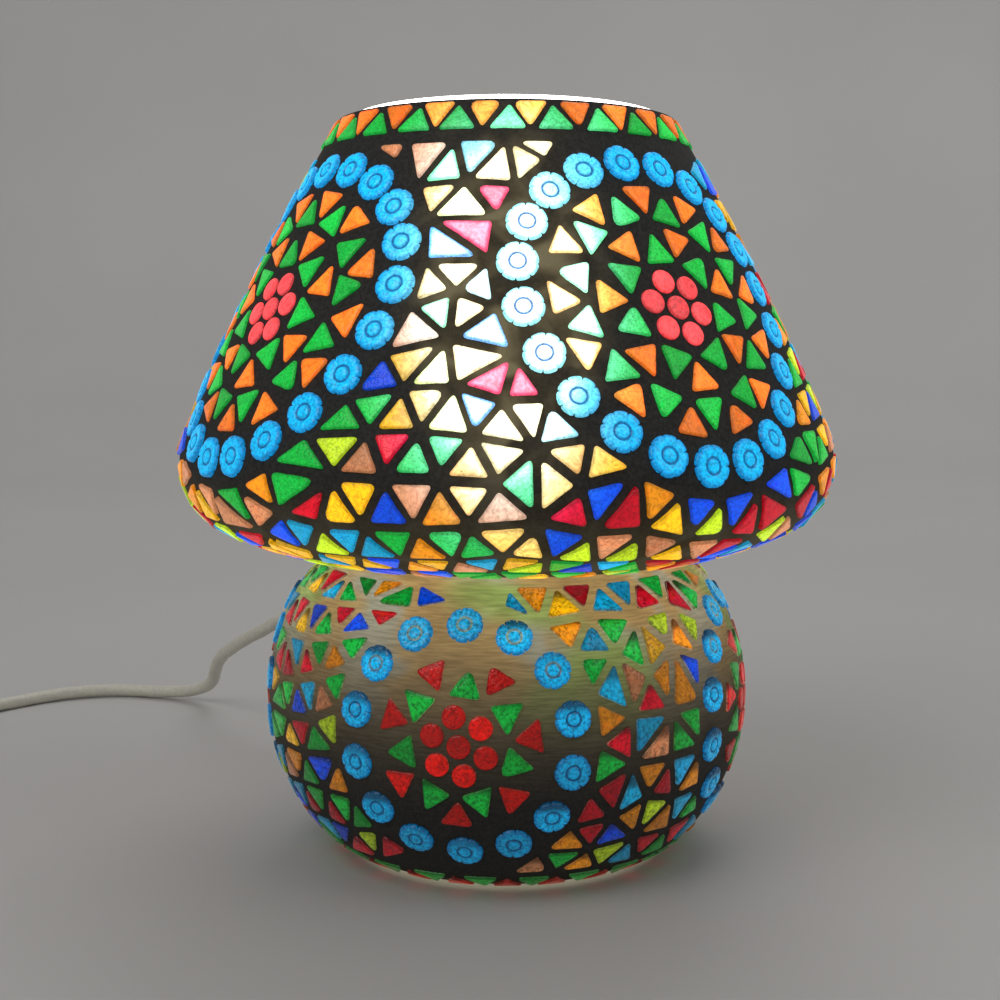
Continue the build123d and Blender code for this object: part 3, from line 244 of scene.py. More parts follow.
def glass_tile(colour, zone):
    """Stained glass lit from behind: strongly on the shade, dimly on the base."""
    s = Shader(f"{colour}_glass_{zone}")
    deep, bright, burn = GLASS[colour]
    deal = s.stored("deal")
    rim = s.stored("rim")
    if colour in GRAINY:
        grain = s.noise(FINE_GRAIN[zone], 3.0)
    else:
        grain = s.noise(STREAKY_GRAIN, 3.0, distortion=2.5)
    clouds = s.noise(CLOUDS, 2.0, distortion=1.2)
    texture = s.math("MULTIPLY", s.steps(grain, *GRAIN_STEP[zone]), s.steps(clouds, *CLOUD_STEP))
    texture = s.math("MULTIPLY", texture, s.steps(s.cells(BUBBLES), *BUBBLE_STEP))
    if colour in GRAINY:
        facets = s.steps(s.cells(FACETS), *FACET_STEP)
        texture = s.math("MULTIPLY", texture, s.steps(facets, 0.0, 1.0, FACET_DARK[zone], FACET_LIGHT))
    edge = s.steps(rim, *RIM_STEP)
    rich = s.mix(s.steps(clouds, *RICH_STEP), deep, tuple(c * c for c in deep))
    if zone == "shade":
        seen, near = glare(s)
        spread = s.math("ADD", seen, s.math("MULTIPLY", s.math("SUBTRACT", deal, 0.5), DEAL_SPREAD))
        heat = s.steps(spread, *HEAT_STEP)
        burnt = s.math("MULTIPLY", s.steps(spread, *BURN_STEP), burn)
        white = s.math("MULTIPLY", burnt, s.steps(rim, *BURN_RIM_STEP))
        level = s.math("ADD", s.math("MULTIPLY", near, SHADE_LEVEL_NEAR), SHADE_LEVEL)
        level = s.math("MULTIPLY", level, s.steps(deal, *SHADE_DEAL_STEP))
        level = s.math("ADD", level, s.math("MULTIPLY", heat, HEAT_BOOST))
        level = s.math("ADD", level, s.math("MULTIPLY", white, BURN_BOOST))
        glow = s.mix(white, s.mix(heat, rich, bright), BURNT_WHITE)
    else:
        level = s.math("MULTIPLY", s.steps(s.height(), *BASE_LEVEL_STEP), s.steps(deal, *BASE_DEAL_STEP))
        edge = s.math("MULTIPLY", edge, dark_top(s, grain))
        # Painted light: the grout on the tiles' edges glows pale tan, more so high on the shoulder.
        lit_high_up = s.steps(s.height(), *LIT_GROUT_LINE_HEIGHT_STEP)
        glow = s.mix(s.math("MULTIPLY", s.steps(rim, *LIT_GROUT_LINE_STEP), lit_high_up), rich, LIT_GROUT_LINE_COLOUR)
    return s.surface(
        base_color=tuple(SKIN_SHARE * c for c in deep), roughness=0.14, emission_color=glow,
        emission_strength=s.math("MULTIPLY", s.math("MULTIPLY", level, texture), edge),
        normal=s.bump(grain, 0.6, 0.4 * MM),
    )


PETAL_SPREAD = 0.1
PETAL_HEAT_STEP = (0.10, 0.60)
PETAL_BURN_STEP = (0.36, 0.80)
PETAL_BURN_RIM_STEP = (0.1, 0.8, 0.15, 0.9)
PETAL_RIM_STEP = (0.0, 0.5, 0.62, 1.0)
PETAL_LEVEL = 0.78
PETAL_LEVEL_NEAR = 0.35
PETAL_BOOST = 0.75
PETAL_BASE_HEAT_STEP = (0.070, 0.095, 0.0, 0.16)
PETAL_BASE_LEVEL_STEP = (0.01, 0.09, 0.34, 0.80)
PETAL_BASE_DEAL_STEP = (0.0, 1.0, 0.75, 1.1)
PETAL_WHITE = (0.92, 1.0, 0.97)
PETAL_EDGE_COLOUR = (0.003, 0.34, 0.80)
PETAL_SKIN = (0.004, 0.08, 0.20)
ENGRAVED_SHADE = (0.001, 0.07, 0.22)
ENGRAVED_BASE_LOW = (0.001, 0.030, 0.120)
ENGRAVED_BASE_LIT = (0.30, 0.33, 0.14)  # grout fills the engraved rings on the shoulder, painted pale olive as lit by the shade's light
ENGRAVED_LIT_STEP = (0.062, 0.078)


def flower_glass(zone):
    """Pressed flower beads: grainy at the petals, with a darker engraved ring."""
    s = Shader(f"flower_glass_{zone}")
    deep, bright, _burn = GLASS["blue"]
    rim = s.stored("rim")
    deal = s.stored("deal")
    grain = s.noise(PETAL_GRAIN, 3.0)
    edge = s.steps(rim, *PETAL_RIM_STEP)
    azure = s.mix(s.steps(rim, 0.0, 0.8), PETAL_EDGE_COLOUR, deep)
    if zone == "shade":
        seen, near = glare(s)
        spread = s.math("ADD", seen, s.math("MULTIPLY", s.math("SUBTRACT", deal, 0.5), PETAL_SPREAD))
        heat = s.steps(spread, *PETAL_HEAT_STEP)
        white = s.math("MULTIPLY", s.steps(seen, *PETAL_BURN_STEP), s.steps(rim, *PETAL_BURN_RIM_STEP))
        level = s.math("ADD", s.math("MULTIPLY", near, PETAL_LEVEL_NEAR), PETAL_LEVEL)
        level = s.math("ADD", level, s.math("MULTIPLY", s.math("ADD", heat, white), PETAL_BOOST))
        glow = s.mix(white, s.mix(heat, azure, bright), PETAL_WHITE)
        ring_colour = ENGRAVED_SHADE
    else:
        heat = s.steps(s.height(), *PETAL_BASE_HEAT_STEP)
        level = s.math(
            "MULTIPLY", s.steps(s.height(), *PETAL_BASE_LEVEL_STEP), s.steps(deal, *PETAL_BASE_DEAL_STEP),
        )
        glow = s.mix(heat, azure, bright)
        edge = s.math("MULTIPLY", edge, dark_top(s, grain))
        # Painted light: the engraved ring turns pale olive high on the shoulder, as if lit by the light from
        # the shade.
        ring_colour = s.mix(s.steps(s.height(), *ENGRAVED_LIT_STEP), ENGRAVED_BASE_LOW, ENGRAVED_BASE_LIT)
    texture = s.steps(grain, *PETAL_GRAIN_STEP[zone])
    return s.surface(
        base_color=PETAL_SKIN, roughness=0.16,
        emission_color=s.mix(s.math("MULTIPLY", s.stored("groove"), 0.95), glow, ring_colour),
        emission_strength=s.math("MULTIPLY", s.math("MULTIPLY", level, texture), edge),
        normal=s.bump(grain, 0.5, 0.3 * MM),
    )


LEAK_STEP = (0.16, 0.85)
LEAK_PATCH_STEP = (0.35, 0.65, 0.25, 1.0)
LEAK_STRENGTH = 0.20
UNDERSIDE_STEP = (0.101, 0.124, 0.055, 0.0)  # the shade's underside, lit from the base, by height


def shade_grout():
    """Grout painted near-black as shade, since it is lit only from behind; it lets a little light through
    near the bulb.
    """
    s = Shader("grout_shade")
    fine = s.noise(900.0, 5.0)
    patches = s.noise(70.0, 2.0, distortion=0.8)
    seen, _near = glare(s)
    leak = s.math("MULTIPLY", s.steps(seen, *LEAK_STEP), s.steps(patches, *LEAK_PATCH_STEP))
    under = s.steps(s.height(), *UNDERSIDE_STEP)
    return s.surface(
        # Painted shade: the grout's colour is near-black.
        base_color=s.mix(s.steps(fine, 0.3, 0.7), (0.010, 0.010, 0.009), (0.030, 0.028, 0.025)),
        roughness=0.8,
        emission_color=s.mix(s.steps(patches, 0.3, 0.7), (0.34, 0.22, 0.025), (0.75, 0.62, 0.32)),
        emission_strength=s.math("ADD", s.math("MULTIPLY", leak, LEAK_STRENGTH), under),
        normal=s.bump(fine, 0.5, 0.2 * MM),
    )


STREAK_STRETCH = 11.0  # the streaks run level
TAN = (0.80, 0.50, 0.17)
STONE = (0.50, 0.49, 0.36)
OLIVE = (0.44, 0.62, 0.14)
SHOULDER_STEP = (0.042, 0.094)  # by height
SHOULDER_POWER = 1.6
# Height step of painted shade: the grout is painted black below it and brown, as if lit, above it.
GROUT_PAINTED_SHADE_STEP = (0.028, 0.075)


def base_grout():
    """Grout wiped round the base in fine streaks, painted black as shade low down and brown as lit on the
    shoulder, with coloured light on the shoulder.
    """
    s = Shader("grout_base")
    stretch = s.vector("MULTIPLY", s.position(), (1.0, 1.0, STREAK_STRETCH))
    streaks = s.noise(150.0, 4.0, vector=stretch, distortion=0.3)
    fine = s.noise(1100.0, 4.0)
    regions = s.noise(17.0, 1.0, distortion=0.6)
    blots = s.noise(36.0, 1.5, distortion=0.6)
    height = s.height()
    lit_brown = s.mix(s.steps(streaks, 0.25, 0.75), (0.115, 0.085, 0.045), (0.21, 0.165, 0.095))
    painted_shade_black = s.mix(s.steps(fine, 0.3, 0.7), (0.006, 0.006, 0.005), (0.022, 0.020, 0.016))
    warm = s.mix(s.steps(blots, 0.42, 0.60), TAN, STONE)
    lit = s.math("POWER", s.steps(height, *SHOULDER_STEP), SHOULDER_POWER)
    strength = s.math("MULTIPLY", lit, s.steps(blots, 0.30, 0.70, 0.40, 0.70))
    strength = s.math("MULTIPLY", strength, s.steps(streaks, 0.3, 0.7, 0.78, 1.10))
    return s.surface(
        # Painted shade: the grout's own colour goes from black low down to brown on the shoulder.
        base_color=s.mix(s.steps(height, *GROUT_PAINTED_SHADE_STEP), painted_shade_black, lit_brown), roughness=0.75,
        emission_color=s.mix(s.steps(regions, 0.50, 0.62), warm, OLIVE), emission_strength=strength,
        normal=s.bump(s.math("ADD", streaks, s.math("MULTIPLY", fine, 0.3)), 0.5, 0.3 * MM),
    )


LIP_STEP = (GLASS_HIGH.z - 4.2 * MM, GLASS_HIGH.z - 1.8 * MM, 0.0, 2.4)
NECK_HEIGHT = 0.094
NECK_STEP = (0.0, 0.006, 0.05, 0.0)  # painted glow of light at the neck, by distance from the neck's height
FOOT_STEP = (0.0035, 0.0075, 0.34, 0.0)


def body_glass():
    """Clear blown glass, white with light at the mouth, with a painted glow at the neck and faintly lit at
    the foot.
    """
    s = Shader("body_glass")
    height = s.height()
    lip = s.steps(height, *LIP_STEP)
    neck_glow = s.steps(s.math("ABSOLUTE", s.math("SUBTRACT", height, NECK_HEIGHT)), *NECK_STEP)
    foot = s.steps(height, *FOOT_STEP)
    return s.surface(
        base_color=(0.93, 0.96, 0.95), roughness=0.04, ior=1.47, transmission_weight=0.92,
        emission_color=s.mix(s.steps(height, 0.05, 0.15), (0.75, 0.68, 0.50), (1.0, 0.96, 0.93)),
        emission_strength=s.math("ADD", s.math("ADD", lip, neck_glow), foot),
        normal=s.bump(s.noise(60.0, 2.0), 0.15, 1.0 * MM),
    )


def plain(name, colour, roughness, metallic=0.0, dust=0.10, scale=350.0, depth=0.1 * MM):
    """A solid finish with a little unevenness."""
    s = Shader(name)
    marks = s.noise(scale, 4.0)
    dark = tuple(c * (1.0 - dust) for c in colour)
    pale = tuple(min(1.0, c * (1.0 + dust)) for c in colour)
    rough = s.steps(marks, 0.3, 0.7, max(0.02, roughness - 0.06), roughness + 0.08)
    return s.surface(
        base_color=s.mix(s.steps(marks, 0.3, 0.7), dark, pale), roughness=rough, metallic=metallic,
        normal=s.bump(marks, 0.3, depth),
    )


def lit_globe():
    """Opal globe of the lit bulb."""
    s = Shader("opal")
    s.material.cycles.emission_sampling = "AUTO"
    return s.surface(
        base_color=(0.9, 0.9, 0.88), roughness=0.35, emission_color=(1.0, 0.90, 0.74),
        emission_strength=s.steps(s.noise(300.0, 2.0), 0.3, 0.7, 5.5, 6.5),
    )


def lit_chip():
    """Yellow phosphor of a lit LED."""
    s = Shader("led_phosphor")
    return s.surface(
        base_color=(0.9, 0.7, 0.15), roughness=0.4, emission_color=(1.0, 0.86, 0.55),
        emission_strength=s.steps(s.noise(2500.0, 2.0), 0.3, 0.7, 3.0, 4.0),
    )


def circuit_board():
    """White solder mask with faint copper traces."""
    s = Shader("led_board")
    traces = s.cells(260.0, feature="DISTANCE_TO_EDGE")
    colour = s.mix(s.steps(traces, 0.04, 0.09), (0.55, 0.56, 0.55), (0.80, 0.81, 0.80))
    return s.surface(base_color=colour, roughness=0.45, normal=s.bump(traces, 0.2, 0.1 * MM))


# ---------------------------------------------------------------- meshes


def solids(node):
    """For each separate solid of a CAD node: (points, triangles), with points that coincide made one."""
    mesh = NODES[node].data
    mesh.calc_loop_triangles()
    places = np.empty(len(mesh.vertices) * 3)
    mesh.vertices.foreach_get("co", places)
    triangles = np.empty(len(mesh.loop_triangles) * 3, dtype=np.int64)
    mesh.loop_triangles.foreach_get("vertices", triangles)
    points, same = np.unique(np.round(places.reshape(-1, 3), 6), axis=0, return_inverse=True)
    triangles = same.reshape(-1)[triangles].reshape(-1, 3)
    label = np.arange(len(points))
    while True:
        lowest = label[triangles].min(axis=1)
        merged = label.copy()
        np.minimum.at(merged, triangles.ravel(), np.repeat(lowest, 3))
        if (merged == label).all():
            break
        label = merged
    found = []
    owner = label[triangles[:, 0]]
    for name in np.unique(owner):
        own = triangles[owner == name]
        ids, local = np.unique(own, return_inverse=True)
        found.append((points[ids], local.reshape(-1, 3)))
    return found


FLAT_WITHIN = 0.03 * MM


def cap(points, triangles, middle):
    """The flat outer face of a tile, facing away from a middle: (centre, normal, its corner points)."""
    a, b, c = (points[triangles[:, k]] for k in range(3))
    cross = np.cross(b - a, c - a)
    size = np.linalg.norm(cross, axis=1)
    normals = cross / np.maximum(size, 1e-15)[:, None]
    for k in np.argsort(-size):
        normal = normals[k]
        if normal @ (points.mean(axis=0) - np.array(middle)) < 0:
            normal = -normal
        along = points @ normal
        if np.minimum(along.max() - along, along - along.min()).max() < FLAT_WITHIN:
            break
    level = along > along.max() - FLAT_WITHIN
    own = level[triangles].all(axis=1)
    weight = size[own]
    centre = ((a[own] + b[own] + c[own]) / 3 * weight[:, None]).sum(axis=0) / weight.sum()
    return centre, normal, points[level]


def frame_of(normal):
    """Two directions in the plane with that normal, the second one pointing as far up as it can."""
    across = np.cross((0.0, 0.0, 1.0), normal)
    across /= np.linalg.norm(across)
    return across, np.cross(normal, across)


class Build:
    """Collects rings of vertices into one mesh with numbers stored on its vertices."""

    def __init__(self):
        self.vertices = []
        self.faces = []
        self.stored = {}

    def stack(self, rings, tip, stored, single=None):
        """Joins closed rings of equal length, shuts the last one with a tip and the first one flat."""
        start = len(self.vertices)
        count = len(rings[0])
        for ring in rings:
            self.vertices.extend(ring)
        self.vertices.append(tip)
        last = start + count * (len(rings) - 1)
        for k in range(len(rings) - 1):
            row = start + k * count
            for j in range(count):
                following = (j + 1) % count
                self.faces.append((row + j, row + following, row + count + following, row + count + j))
        for j in range(count):
            self.faces.append((last + j, last + (j + 1) % count, start + count * len(rings)))
        self.faces.append(tuple(start + j for j in reversed(range(count))))
        for name, values in stored.items():
            column = self.stored.setdefault(name, [])
            for value in values[:-1]:
                column.extend([value] * count)
            column.append(values[-1])
        for name, values in (single or {}).items():
            self.stored.setdefault(name, []).extend(values)

    def loop(self, rings):
        """Joins closed rings of equal length, the last one to the first."""
        start = len(self.vertices)
        count = len(rings[0])
        for ring in rings:
            self.vertices.extend(ring)
        for k in range(len(rings)):
            row = start + k * count
            next_row = start + (k + 1) % len(rings) * count
            for j in range(count):
                following = (j + 1) % count
                self.faces.append((row + j, row + following, next_row + following, next_row + j))

    def finish(self, name, material):
        """The mesh as an object."""
        mesh = bpy.data.meshes.new(name)
        mesh.from_pydata([tuple(v) for v in self.vertices], [], self.faces)
        for key, values in self.stored.items():
            mesh.attributes.new(key, "FLOAT", "POINT").data.foreach_set("value", np.array(values, np.float32))
        mesh.polygons.foreach_set("use_smooth", [True] * len(mesh.polygons))
        mesh.materials.append(material)
        piece = bpy.data.objects.new(name, mesh)
        bpy.context.scene.collection.objects.link(piece)
        return piece


def settle(piece, node):
    """Lets a piece ride on the lamp in the place of a CAD node."""
    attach(piece, "lamp")
    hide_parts(node)


ROUNDING = 0.85 * MM
ROUNDING_SPREAD = (0.7, 1.5)
BLUNT_SHARE = 0.12  # of the corners, and how much rounder they are
BLUNTER = 1.9
ROUNDED_MOST = 0.40  # share of a side that one corner's rounding takes up
ARC_STEPS = (0.0, 0.25, 0.5, 0.75, 1.0)
SIDE_STEPS = (0.3, 0.55, 0.8)
SIDE_SHARE = 0.82
SIDE_UNEVEN = (-0.06, 0.02)  # millimetres


def chip_outline(corners):
    """A triangle's outline with rounded, slightly uneven corners and sides: (points, incentre, inradius)."""
    sides = [np.linalg.norm(corners[(k + 1) % 3] - corners[(k + 2) % 3]) for k in range(3)]
    round_about = sum(sides)
    incentre = sum(side * corner for side, corner in zip(sides, corners)) / round_about
    u, v = corners[1] - corners[0], corners[2] - corners[0]
    inradius = abs(u[0] * v[1] - u[1] * v[0]) / round_about
    outline = []
    for k in range(3):
        here, before, after = corners[k], corners[k - 1], corners[(k + 1) % 3]
        back = (before - here) / np.linalg.norm(before - here)
        on = (after - here) / np.linalg.norm(after - here)
        out = np.array((on[1], -on[0]))
        half = 0.5 * math.acos(float(np.clip(back @ on, -1, 1)))
        radius = ROUNDING * rng.uniform(*ROUNDING_SPREAD)
        if rng.random() < BLUNT_SHARE:
            radius *= BLUNTER
        reach = min(radius / math.tan(half), ROUNDED_MOST * min(sides[k - 1], sides[(k + 1) % 3]))
        start, end = here + back * reach, here + on * reach
        for t in ARC_STEPS:
            outline.append((1 - t) ** 2 * start + 2 * t * (1 - t) * here + t * t * end)
        for t in SIDE_STEPS:
            outline.append(end + (after - end) * t * SIDE_SHARE + rng.uniform(*SIDE_UNEVEN) * MM * out)
    return outline, incentre, inradius


# (distance in from the edge, distance below the CAD's face), millimetres
CHIP_RINGS = ((0.0, 2.30), (0.0, 0.42), (0.08, 0.16), (0.30, 0.03), (0.85, 0.0))
CHIP_MIDDLE = 0.42  # share of the outline's size at the innermost ring
CHIP_SWELL = (0.02, 0.12)  # height of the middle above the edge, millimetres
CHIP_TIP = 1.25  # height of the very middle, as a share of that
RIM_WIDTH = 3.0 * MM
TILE_REACH = 6.0 * MM


def chips(name, node, colour, zone, middle):
    """Hand-cut glass chips in the places of a CAD node's tiles."""
    build = Build()
    for points, triangles in solids(node):
        centre, normal, corners = cap(points, triangles, middle)
        across, up = frame_of(normal)
        flat = [np.array(((p - centre) @ across, (p - centre) @ up)) for p in corners]
        flat.sort(key=lambda p: math.atan2(p[1], p[0]))
        outline, incentre, inradius = chip_outline(flat)
        swell = rng.uniform(*CHIP_SWELL) * MM
        rings = []
        rims = []
        rises = []
        levels = [(1.0 - inset * MM / inradius, -below * MM) for inset, below in CHIP_RINGS]
        levels.append((CHIP_MIDDLE, swell))
        for keep, lift in levels:
            ring = [incentre + (p - incentre) * keep for p in outline]
            rings.append([centre + across * p[0] + up * p[1] + normal * lift for p in ring])
            rims.append(min(1.0, (1.0 - keep) * inradius / RIM_WIDTH))
            rises.extend((p[1] - incentre[1]) / TILE_REACH for p in ring)
        tip = centre + across * incentre[0] + up * incentre[1] + normal * CHIP_TIP * swell
        rims.append(1.0)
        rises.append(0.0)
        build.stack(rings, tip, {"rim": rims, "deal": [rng.random()] * len(rims)}, {"rise": rises})
    settle(build.finish(name, glass_tile(colour, zone)), node)


# (share of the radius, height above the CAD's face in millimetres, engraved?)
FLOWER_RINGS = (
    (1.00, -2.60, 0), (1.00, -0.75, 0), (0.975, -0.32, 0), (0.90, -0.06, 0), (0.78, 0.05, 0),
    (0.62, 0.02, 0), (0.49, -0.06, 0), (0.445, -0.14, 0.7), (0.41, -0.36, 1), (0.365, -0.34, 1),
    (0.33, -0.06, 0.5), (0.26, 0.12, 0), (0.13, 0.24, 0),
)
PETALS = 8
# (share of a petal's width, depth of the cut as a share of the radius, fall of the edge in millimetres)
PETAL_OUTLINE = (
    (0.0, 0.185, 0.30), (0.055, 0.040, 0.16), (0.13, 0.010, 0.05), (0.26, 0.002, 0.0), (0.5, 0.0, 0.0),
    (0.74, 0.002, 0.0), (0.87, 0.010, 0.05), (0.945, 0.040, 0.16),
)
CUT_START = 0.55  # share of the radius at which the cuts between the petals begin
PETAL_RIM = 0.4  # share of the radius over which the petals' rim fades
NOTCH_LEAST = 0.3 * MM
BEAD_LEAN = 0.05
BEAD_TIP = 0.27 * MM
UNDER_FACE = -1.0  # rings lower than this, in millimetres, belong to the buried part


def flowers(name, node, zone, middle):
    """Pressed glass flowers in the places of a CAD node's beads."""
    build = Build()
    for points, triangles in solids(node):
        centre, normal, rim = cap(points, triangles, middle)
        across, up = frame_of(normal)
        flat = np.array([((p - centre) @ across, (p - centre) @ up) for p in rim])
        reach = np.hypot(flat[:, 0], flat[:, 1])
        radius = reach.max()
        notched = flat[reach < radius - NOTCH_LEAST]
        angles = np.arctan2(notched[:, 1], notched[:, 0]) * PETALS
        turn = math.atan2(np.sin(angles).mean(), np.cos(angles).mean()) / PETALS
        rings = []
        rims = []
        grooves = []
        lean = rng.uniform(-BEAD_LEAN, BEAD_LEAN, 2)
        for share, rise, engraved in FLOWER_RINGS:
            ring = []
            depth = max(0.0, (share - CUT_START) / (1.0 - CUT_START))
            above = rise > UNDER_FACE
            for petal in range(PETALS):
                for along, cut, fall in PETAL_OUTLINE:
                    angle = turn + 2 * math.pi * (petal + along) / PETALS
                    r = radius * share * (1.0 - cut * depth)
                    z = (rise - fall * depth * above) * MM
                    z += r * (lean[0] * math.cos(angle) + lean[1] * math.sin(angle)) * above
                    ring.append(centre + across * r * math.cos(angle) + up * r * math.sin(angle) + normal * z)
            rings.append(ring)
            rims.append(min(1.0, (1.0 - share) / PETAL_RIM))
            grooves.append(engraved)
        rims.append(1.0)
        grooves.append(0.0)
        rises = [float((p - centre) @ up) / TILE_REACH for ring in rings for p in ring] + [0.0]
        stored = {"rim": rims, "groove": grooves, "deal": [rng.random()] * len(rims)}
        build.stack(rings, centre + normal * BEAD_TIP, stored, {"rise": rises})
    settle(build.finish(name, flower_glass(zone)), node)


# (share of the radius, height above the CAD's face in millimetres)
DISC_RINGS = ((1.0, -2.3), (1.0, -0.55), (0.975, -0.22), (0.91, -0.04), (0.76, 0.05), (0.45, 0.12))
DISC_SIDES = 32
DISC_SIZE = 0.985
DISC_UNEVEN = 0.012
DISC_RIM = 0.5  # share of the radius over which the rim fades
DISC_TIP = 0.15 * MM


def round_tiles(name, node, colour, zone, middle):
    """Slightly domed round tiles in the places of a CAD node's discs."""
    build = Build()
    for points, triangles in solids(node):
        centre, normal, rim = cap(points, triangles, middle)
        across, up = frame_of(normal)
        radius = max(np.linalg.norm(p - centre) for p in rim)
        wobble = rng.uniform(-DISC_UNEVEN, DISC_UNEVEN, 3)
        rings = []
        rims = []
        for share, rise in DISC_RINGS:
            ring = []
            for j in range(DISC_SIDES):
                angle = 2 * math.pi * j / DISC_SIDES
                uneven = DISC_SIZE + wobble[0] * math.sin(2 * angle) + wobble[1] * math.cos(3 * angle)
                r = radius * share * uneven
                flat = across * r * math.cos(angle) + up * r * math.sin(angle)
                ring.append(centre + flat + normal * rise * MM)
            rings.append(ring)
            rims.append(min(1.0, (1.0 - share) / DISC_RIM))
        rims.append(1.0)
        stored = {"rim": rims, "deal": [rng.random()] * len(rims)}
        build.stack(rings, centre + normal * DISC_TIP, stored)
    settle(build.finish(name, glass_tile(colour, zone)), node)


for node in sorted(NODES):
    if not node.endswith(("_tiles", "_beads", "_discs")):
        continue
    on_shade = node.startswith(("shade", "mouth"))
    zone = "shade" if on_shade else "base"
    middle = LIGHT if on_shade else BASE_MIDDLE
    label = f"{node}_cut"
    if node.endswith("_beads"):
        flowers(label, node, zone, middle)
    elif node.endswith("_discs"):
        round_tiles(label, node, "pink" if on_shade else "red", zone, middle)
    else:
        chips(label, node, node.split("_")[-2], zone, middle)

# ---------------------------------------------------------------- cord


CLOUD_POINTS = 60000
CORD_STEP = 1.6 * MM
CORD_RADIUS = 2.6 * MM
CORD_STEPS_MOST = 2000
SLICE_HALF = 0.6 * CORD_STEP
SLICE_REACH = 1.7 * CORD_RADIUS
SLICE_LEAST = 20  # points that a slice of cord holds
SMOOTHING_ROUNDS = 6


def surface_cloud(node):
    """Points spread evenly over a CAD node's surface."""
    mesh = NODES[node].data
    mesh.calc_loop_triangles()
    corners = np.array([[mesh.vertices[v].co[:] for v in t.vertices] for t in mesh.loop_triangles])
    across = corners[:, 1] - corners[:, 0]
    along = corners[:, 2] - corners[:, 0]
    areas = np.linalg.norm(np.cross(across, along), axis=1)
    picked = rng.choice(len(corners), CLOUD_POINTS, p=areas / areas.sum())
    u, v = rng.random((2, CLOUD_POINTS))
    over = u + v > 1
    u[over], v[over] = 1 - u[over], 1 - v[over]
    return corners[picked, 0] + across[picked] * u[:, None] + along[picked] * v[:, None]


def cord_path(node, start, heading):
    """The middle of a swept cord, walked from a point in a direction until it ends."""
    cloud = surface_cloud(node)
    path = [np.array(start)]
    heading = np.array(heading, float)
    while len(path) < CORD_STEPS_MOST:
        ahead = path[-1] + heading * CORD_STEP
        away = cloud - ahead
        along = away @ heading
        across = np.linalg.norm(away - along[:, None] * heading, axis=1)
        own = (np.abs(along) < SLICE_HALF) & (across < SLICE_REACH)
        if own.sum() < SLICE_LEAST:
            break
        centre = cloud[own].mean(axis=0)
        centre += heading * ((ahead - centre) @ heading)
        heading = centre - path[-1]
        heading /= np.linalg.norm(heading)
        path.append(centre)
    smooth = np.array(path)
    for _round in range(SMOOTHING_ROUNDS):
        smooth[1:-1] = 0.25 * smooth[:-2] + 0.5 * smooth[1:-1] + 0.25 * smooth[2:]
    return smooth


CORD_SIDES = 28
WIRES = 3
LAY_TURNS = 26.0  # turns of the twisted wires per metre
LAY_SIZE = 0.985
LAY_RELIEF = 0.018
FIRST_SIDE = (0.3, 0.9, 0.1)


def cord(name, path, material):
    """A round flexible cord in which the twisted wires show faintly."""
    build = Build()
    rings = []
    side = None
    travelled = 0.0
    for k, here in enumerate(path):
        forward = path[min(k + 1, len(path) - 1)] - path[max(k - 1, 0)]
        forward /= np.linalg.norm(forward)
        if side is None:
            side = np.cross(forward, FIRST_SIDE)
        side = side - forward * (side @ forward)
        side /= np.linalg.norm(side)
        other = np.cross(forward, side)
        if k:
            travelled += np.linalg.norm(here - path[k - 1])
        ring = []
        for j in range(CORD_SIDES):
            angle = 2 * math.pi * j / CORD_SIDES
            lay = WIRES * (angle - 2 * math.pi * LAY_TURNS * travelled)
            r = CORD_RADIUS * (LAY_SIZE + LAY_RELIEF * math.cos(lay))
            ring.append(here + side * r * math.cos(angle) + other * r * math.sin(angle))
        rings.append(ring)
    build.stack(rings, path[-1], {})
    return build.finish(name, material)


SWITCH_LOW, SWITCH_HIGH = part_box("switch_lower_half")
MAINS_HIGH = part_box("mains_cord")[1]
cord_vinyl = plain("cord_pvc", (0.62, 0.60, 0.52), 0.38, dust=0.06, scale=700.0)

SWITCH_MIDDLE = 0.5 * (SWITCH_LOW + SWITCH_HIGH)
NEAR_AXIS = 1.2 * CORD_RADIUS
near_axis = [v.co.z for v in NODES["lamp_cord"].data.vertices if math.hypot(v.co.x, v.co.y) < NEAR_AXIS]
CORD_STARTS = {
    "lamp_cord": ((0.0, 0.0, max(near_axis)), (0.0, 0.0, -1.0)),
    "mains_cord": ((SWITCH_MIDDLE.x, MAINS_HIGH.y, SWITCH_HIGH.z), (0.0, -1.0, 0.0)),
}
for node, (start, heading) in CORD_STARTS.items():
    settle(cord(f"{node}_wound", cord_path(node, start, heading), cord_vinyl), node)

# ---------------------------------------------------------------- felt


FELT_SIDES = 240
FELT_STEPS = (0.0, 0.34, 0.67)
FUZZ = 0.15 * MM
FUZZ_HEIGHT = 0.12  # share of the thickness


def felt_ring(material):
    """A felt ring under the foot, with an uneven, fuzzy surface."""
    low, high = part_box("foot_felt")
    outer = high.x
    inner = min(round(math.hypot(v.co.x, v.co.y), 5) for v in NODES["foot_felt"].data.vertices)
    build = Build()
    thickness = high.z - low.z
    rings = []
    profile = [(inner, low.z), (outer, low.z), (outer, high.z), (inner, high.z), (inner, low.z)]
    for (r_0, z_0), (r_1, z_1) in zip(profile, profile[1:]):
        for t in FELT_STEPS:
            ring = []
            for j in range(FELT_SIDES):
                angle = 2 * math.pi * j / FELT_SIDES
                r = r_0 + (r_1 - r_0) * t + rng.uniform(-FUZZ, FUZZ)
                z = z_0 + (z_1 - z_0) * t
                z = min(high.z, max(low.z, z + rng.uniform(-FUZZ_HEIGHT, FUZZ_HEIGHT) * thickness))
                ring.append((r * math.cos(angle), r * math.sin(angle), z))
            rings.append(ring)
    build.loop(rings)
    return build.finish("foot_felt_fuzzy", material)


felt = plain("felt", (0.035, 0.035, 0.035), 0.95, dust=0.4, scale=1800.0, depth=0.0004)
settle(felt_ring(felt), "foot_felt")

# ---------------------------------------------------------------- finishes of the CAD pieces

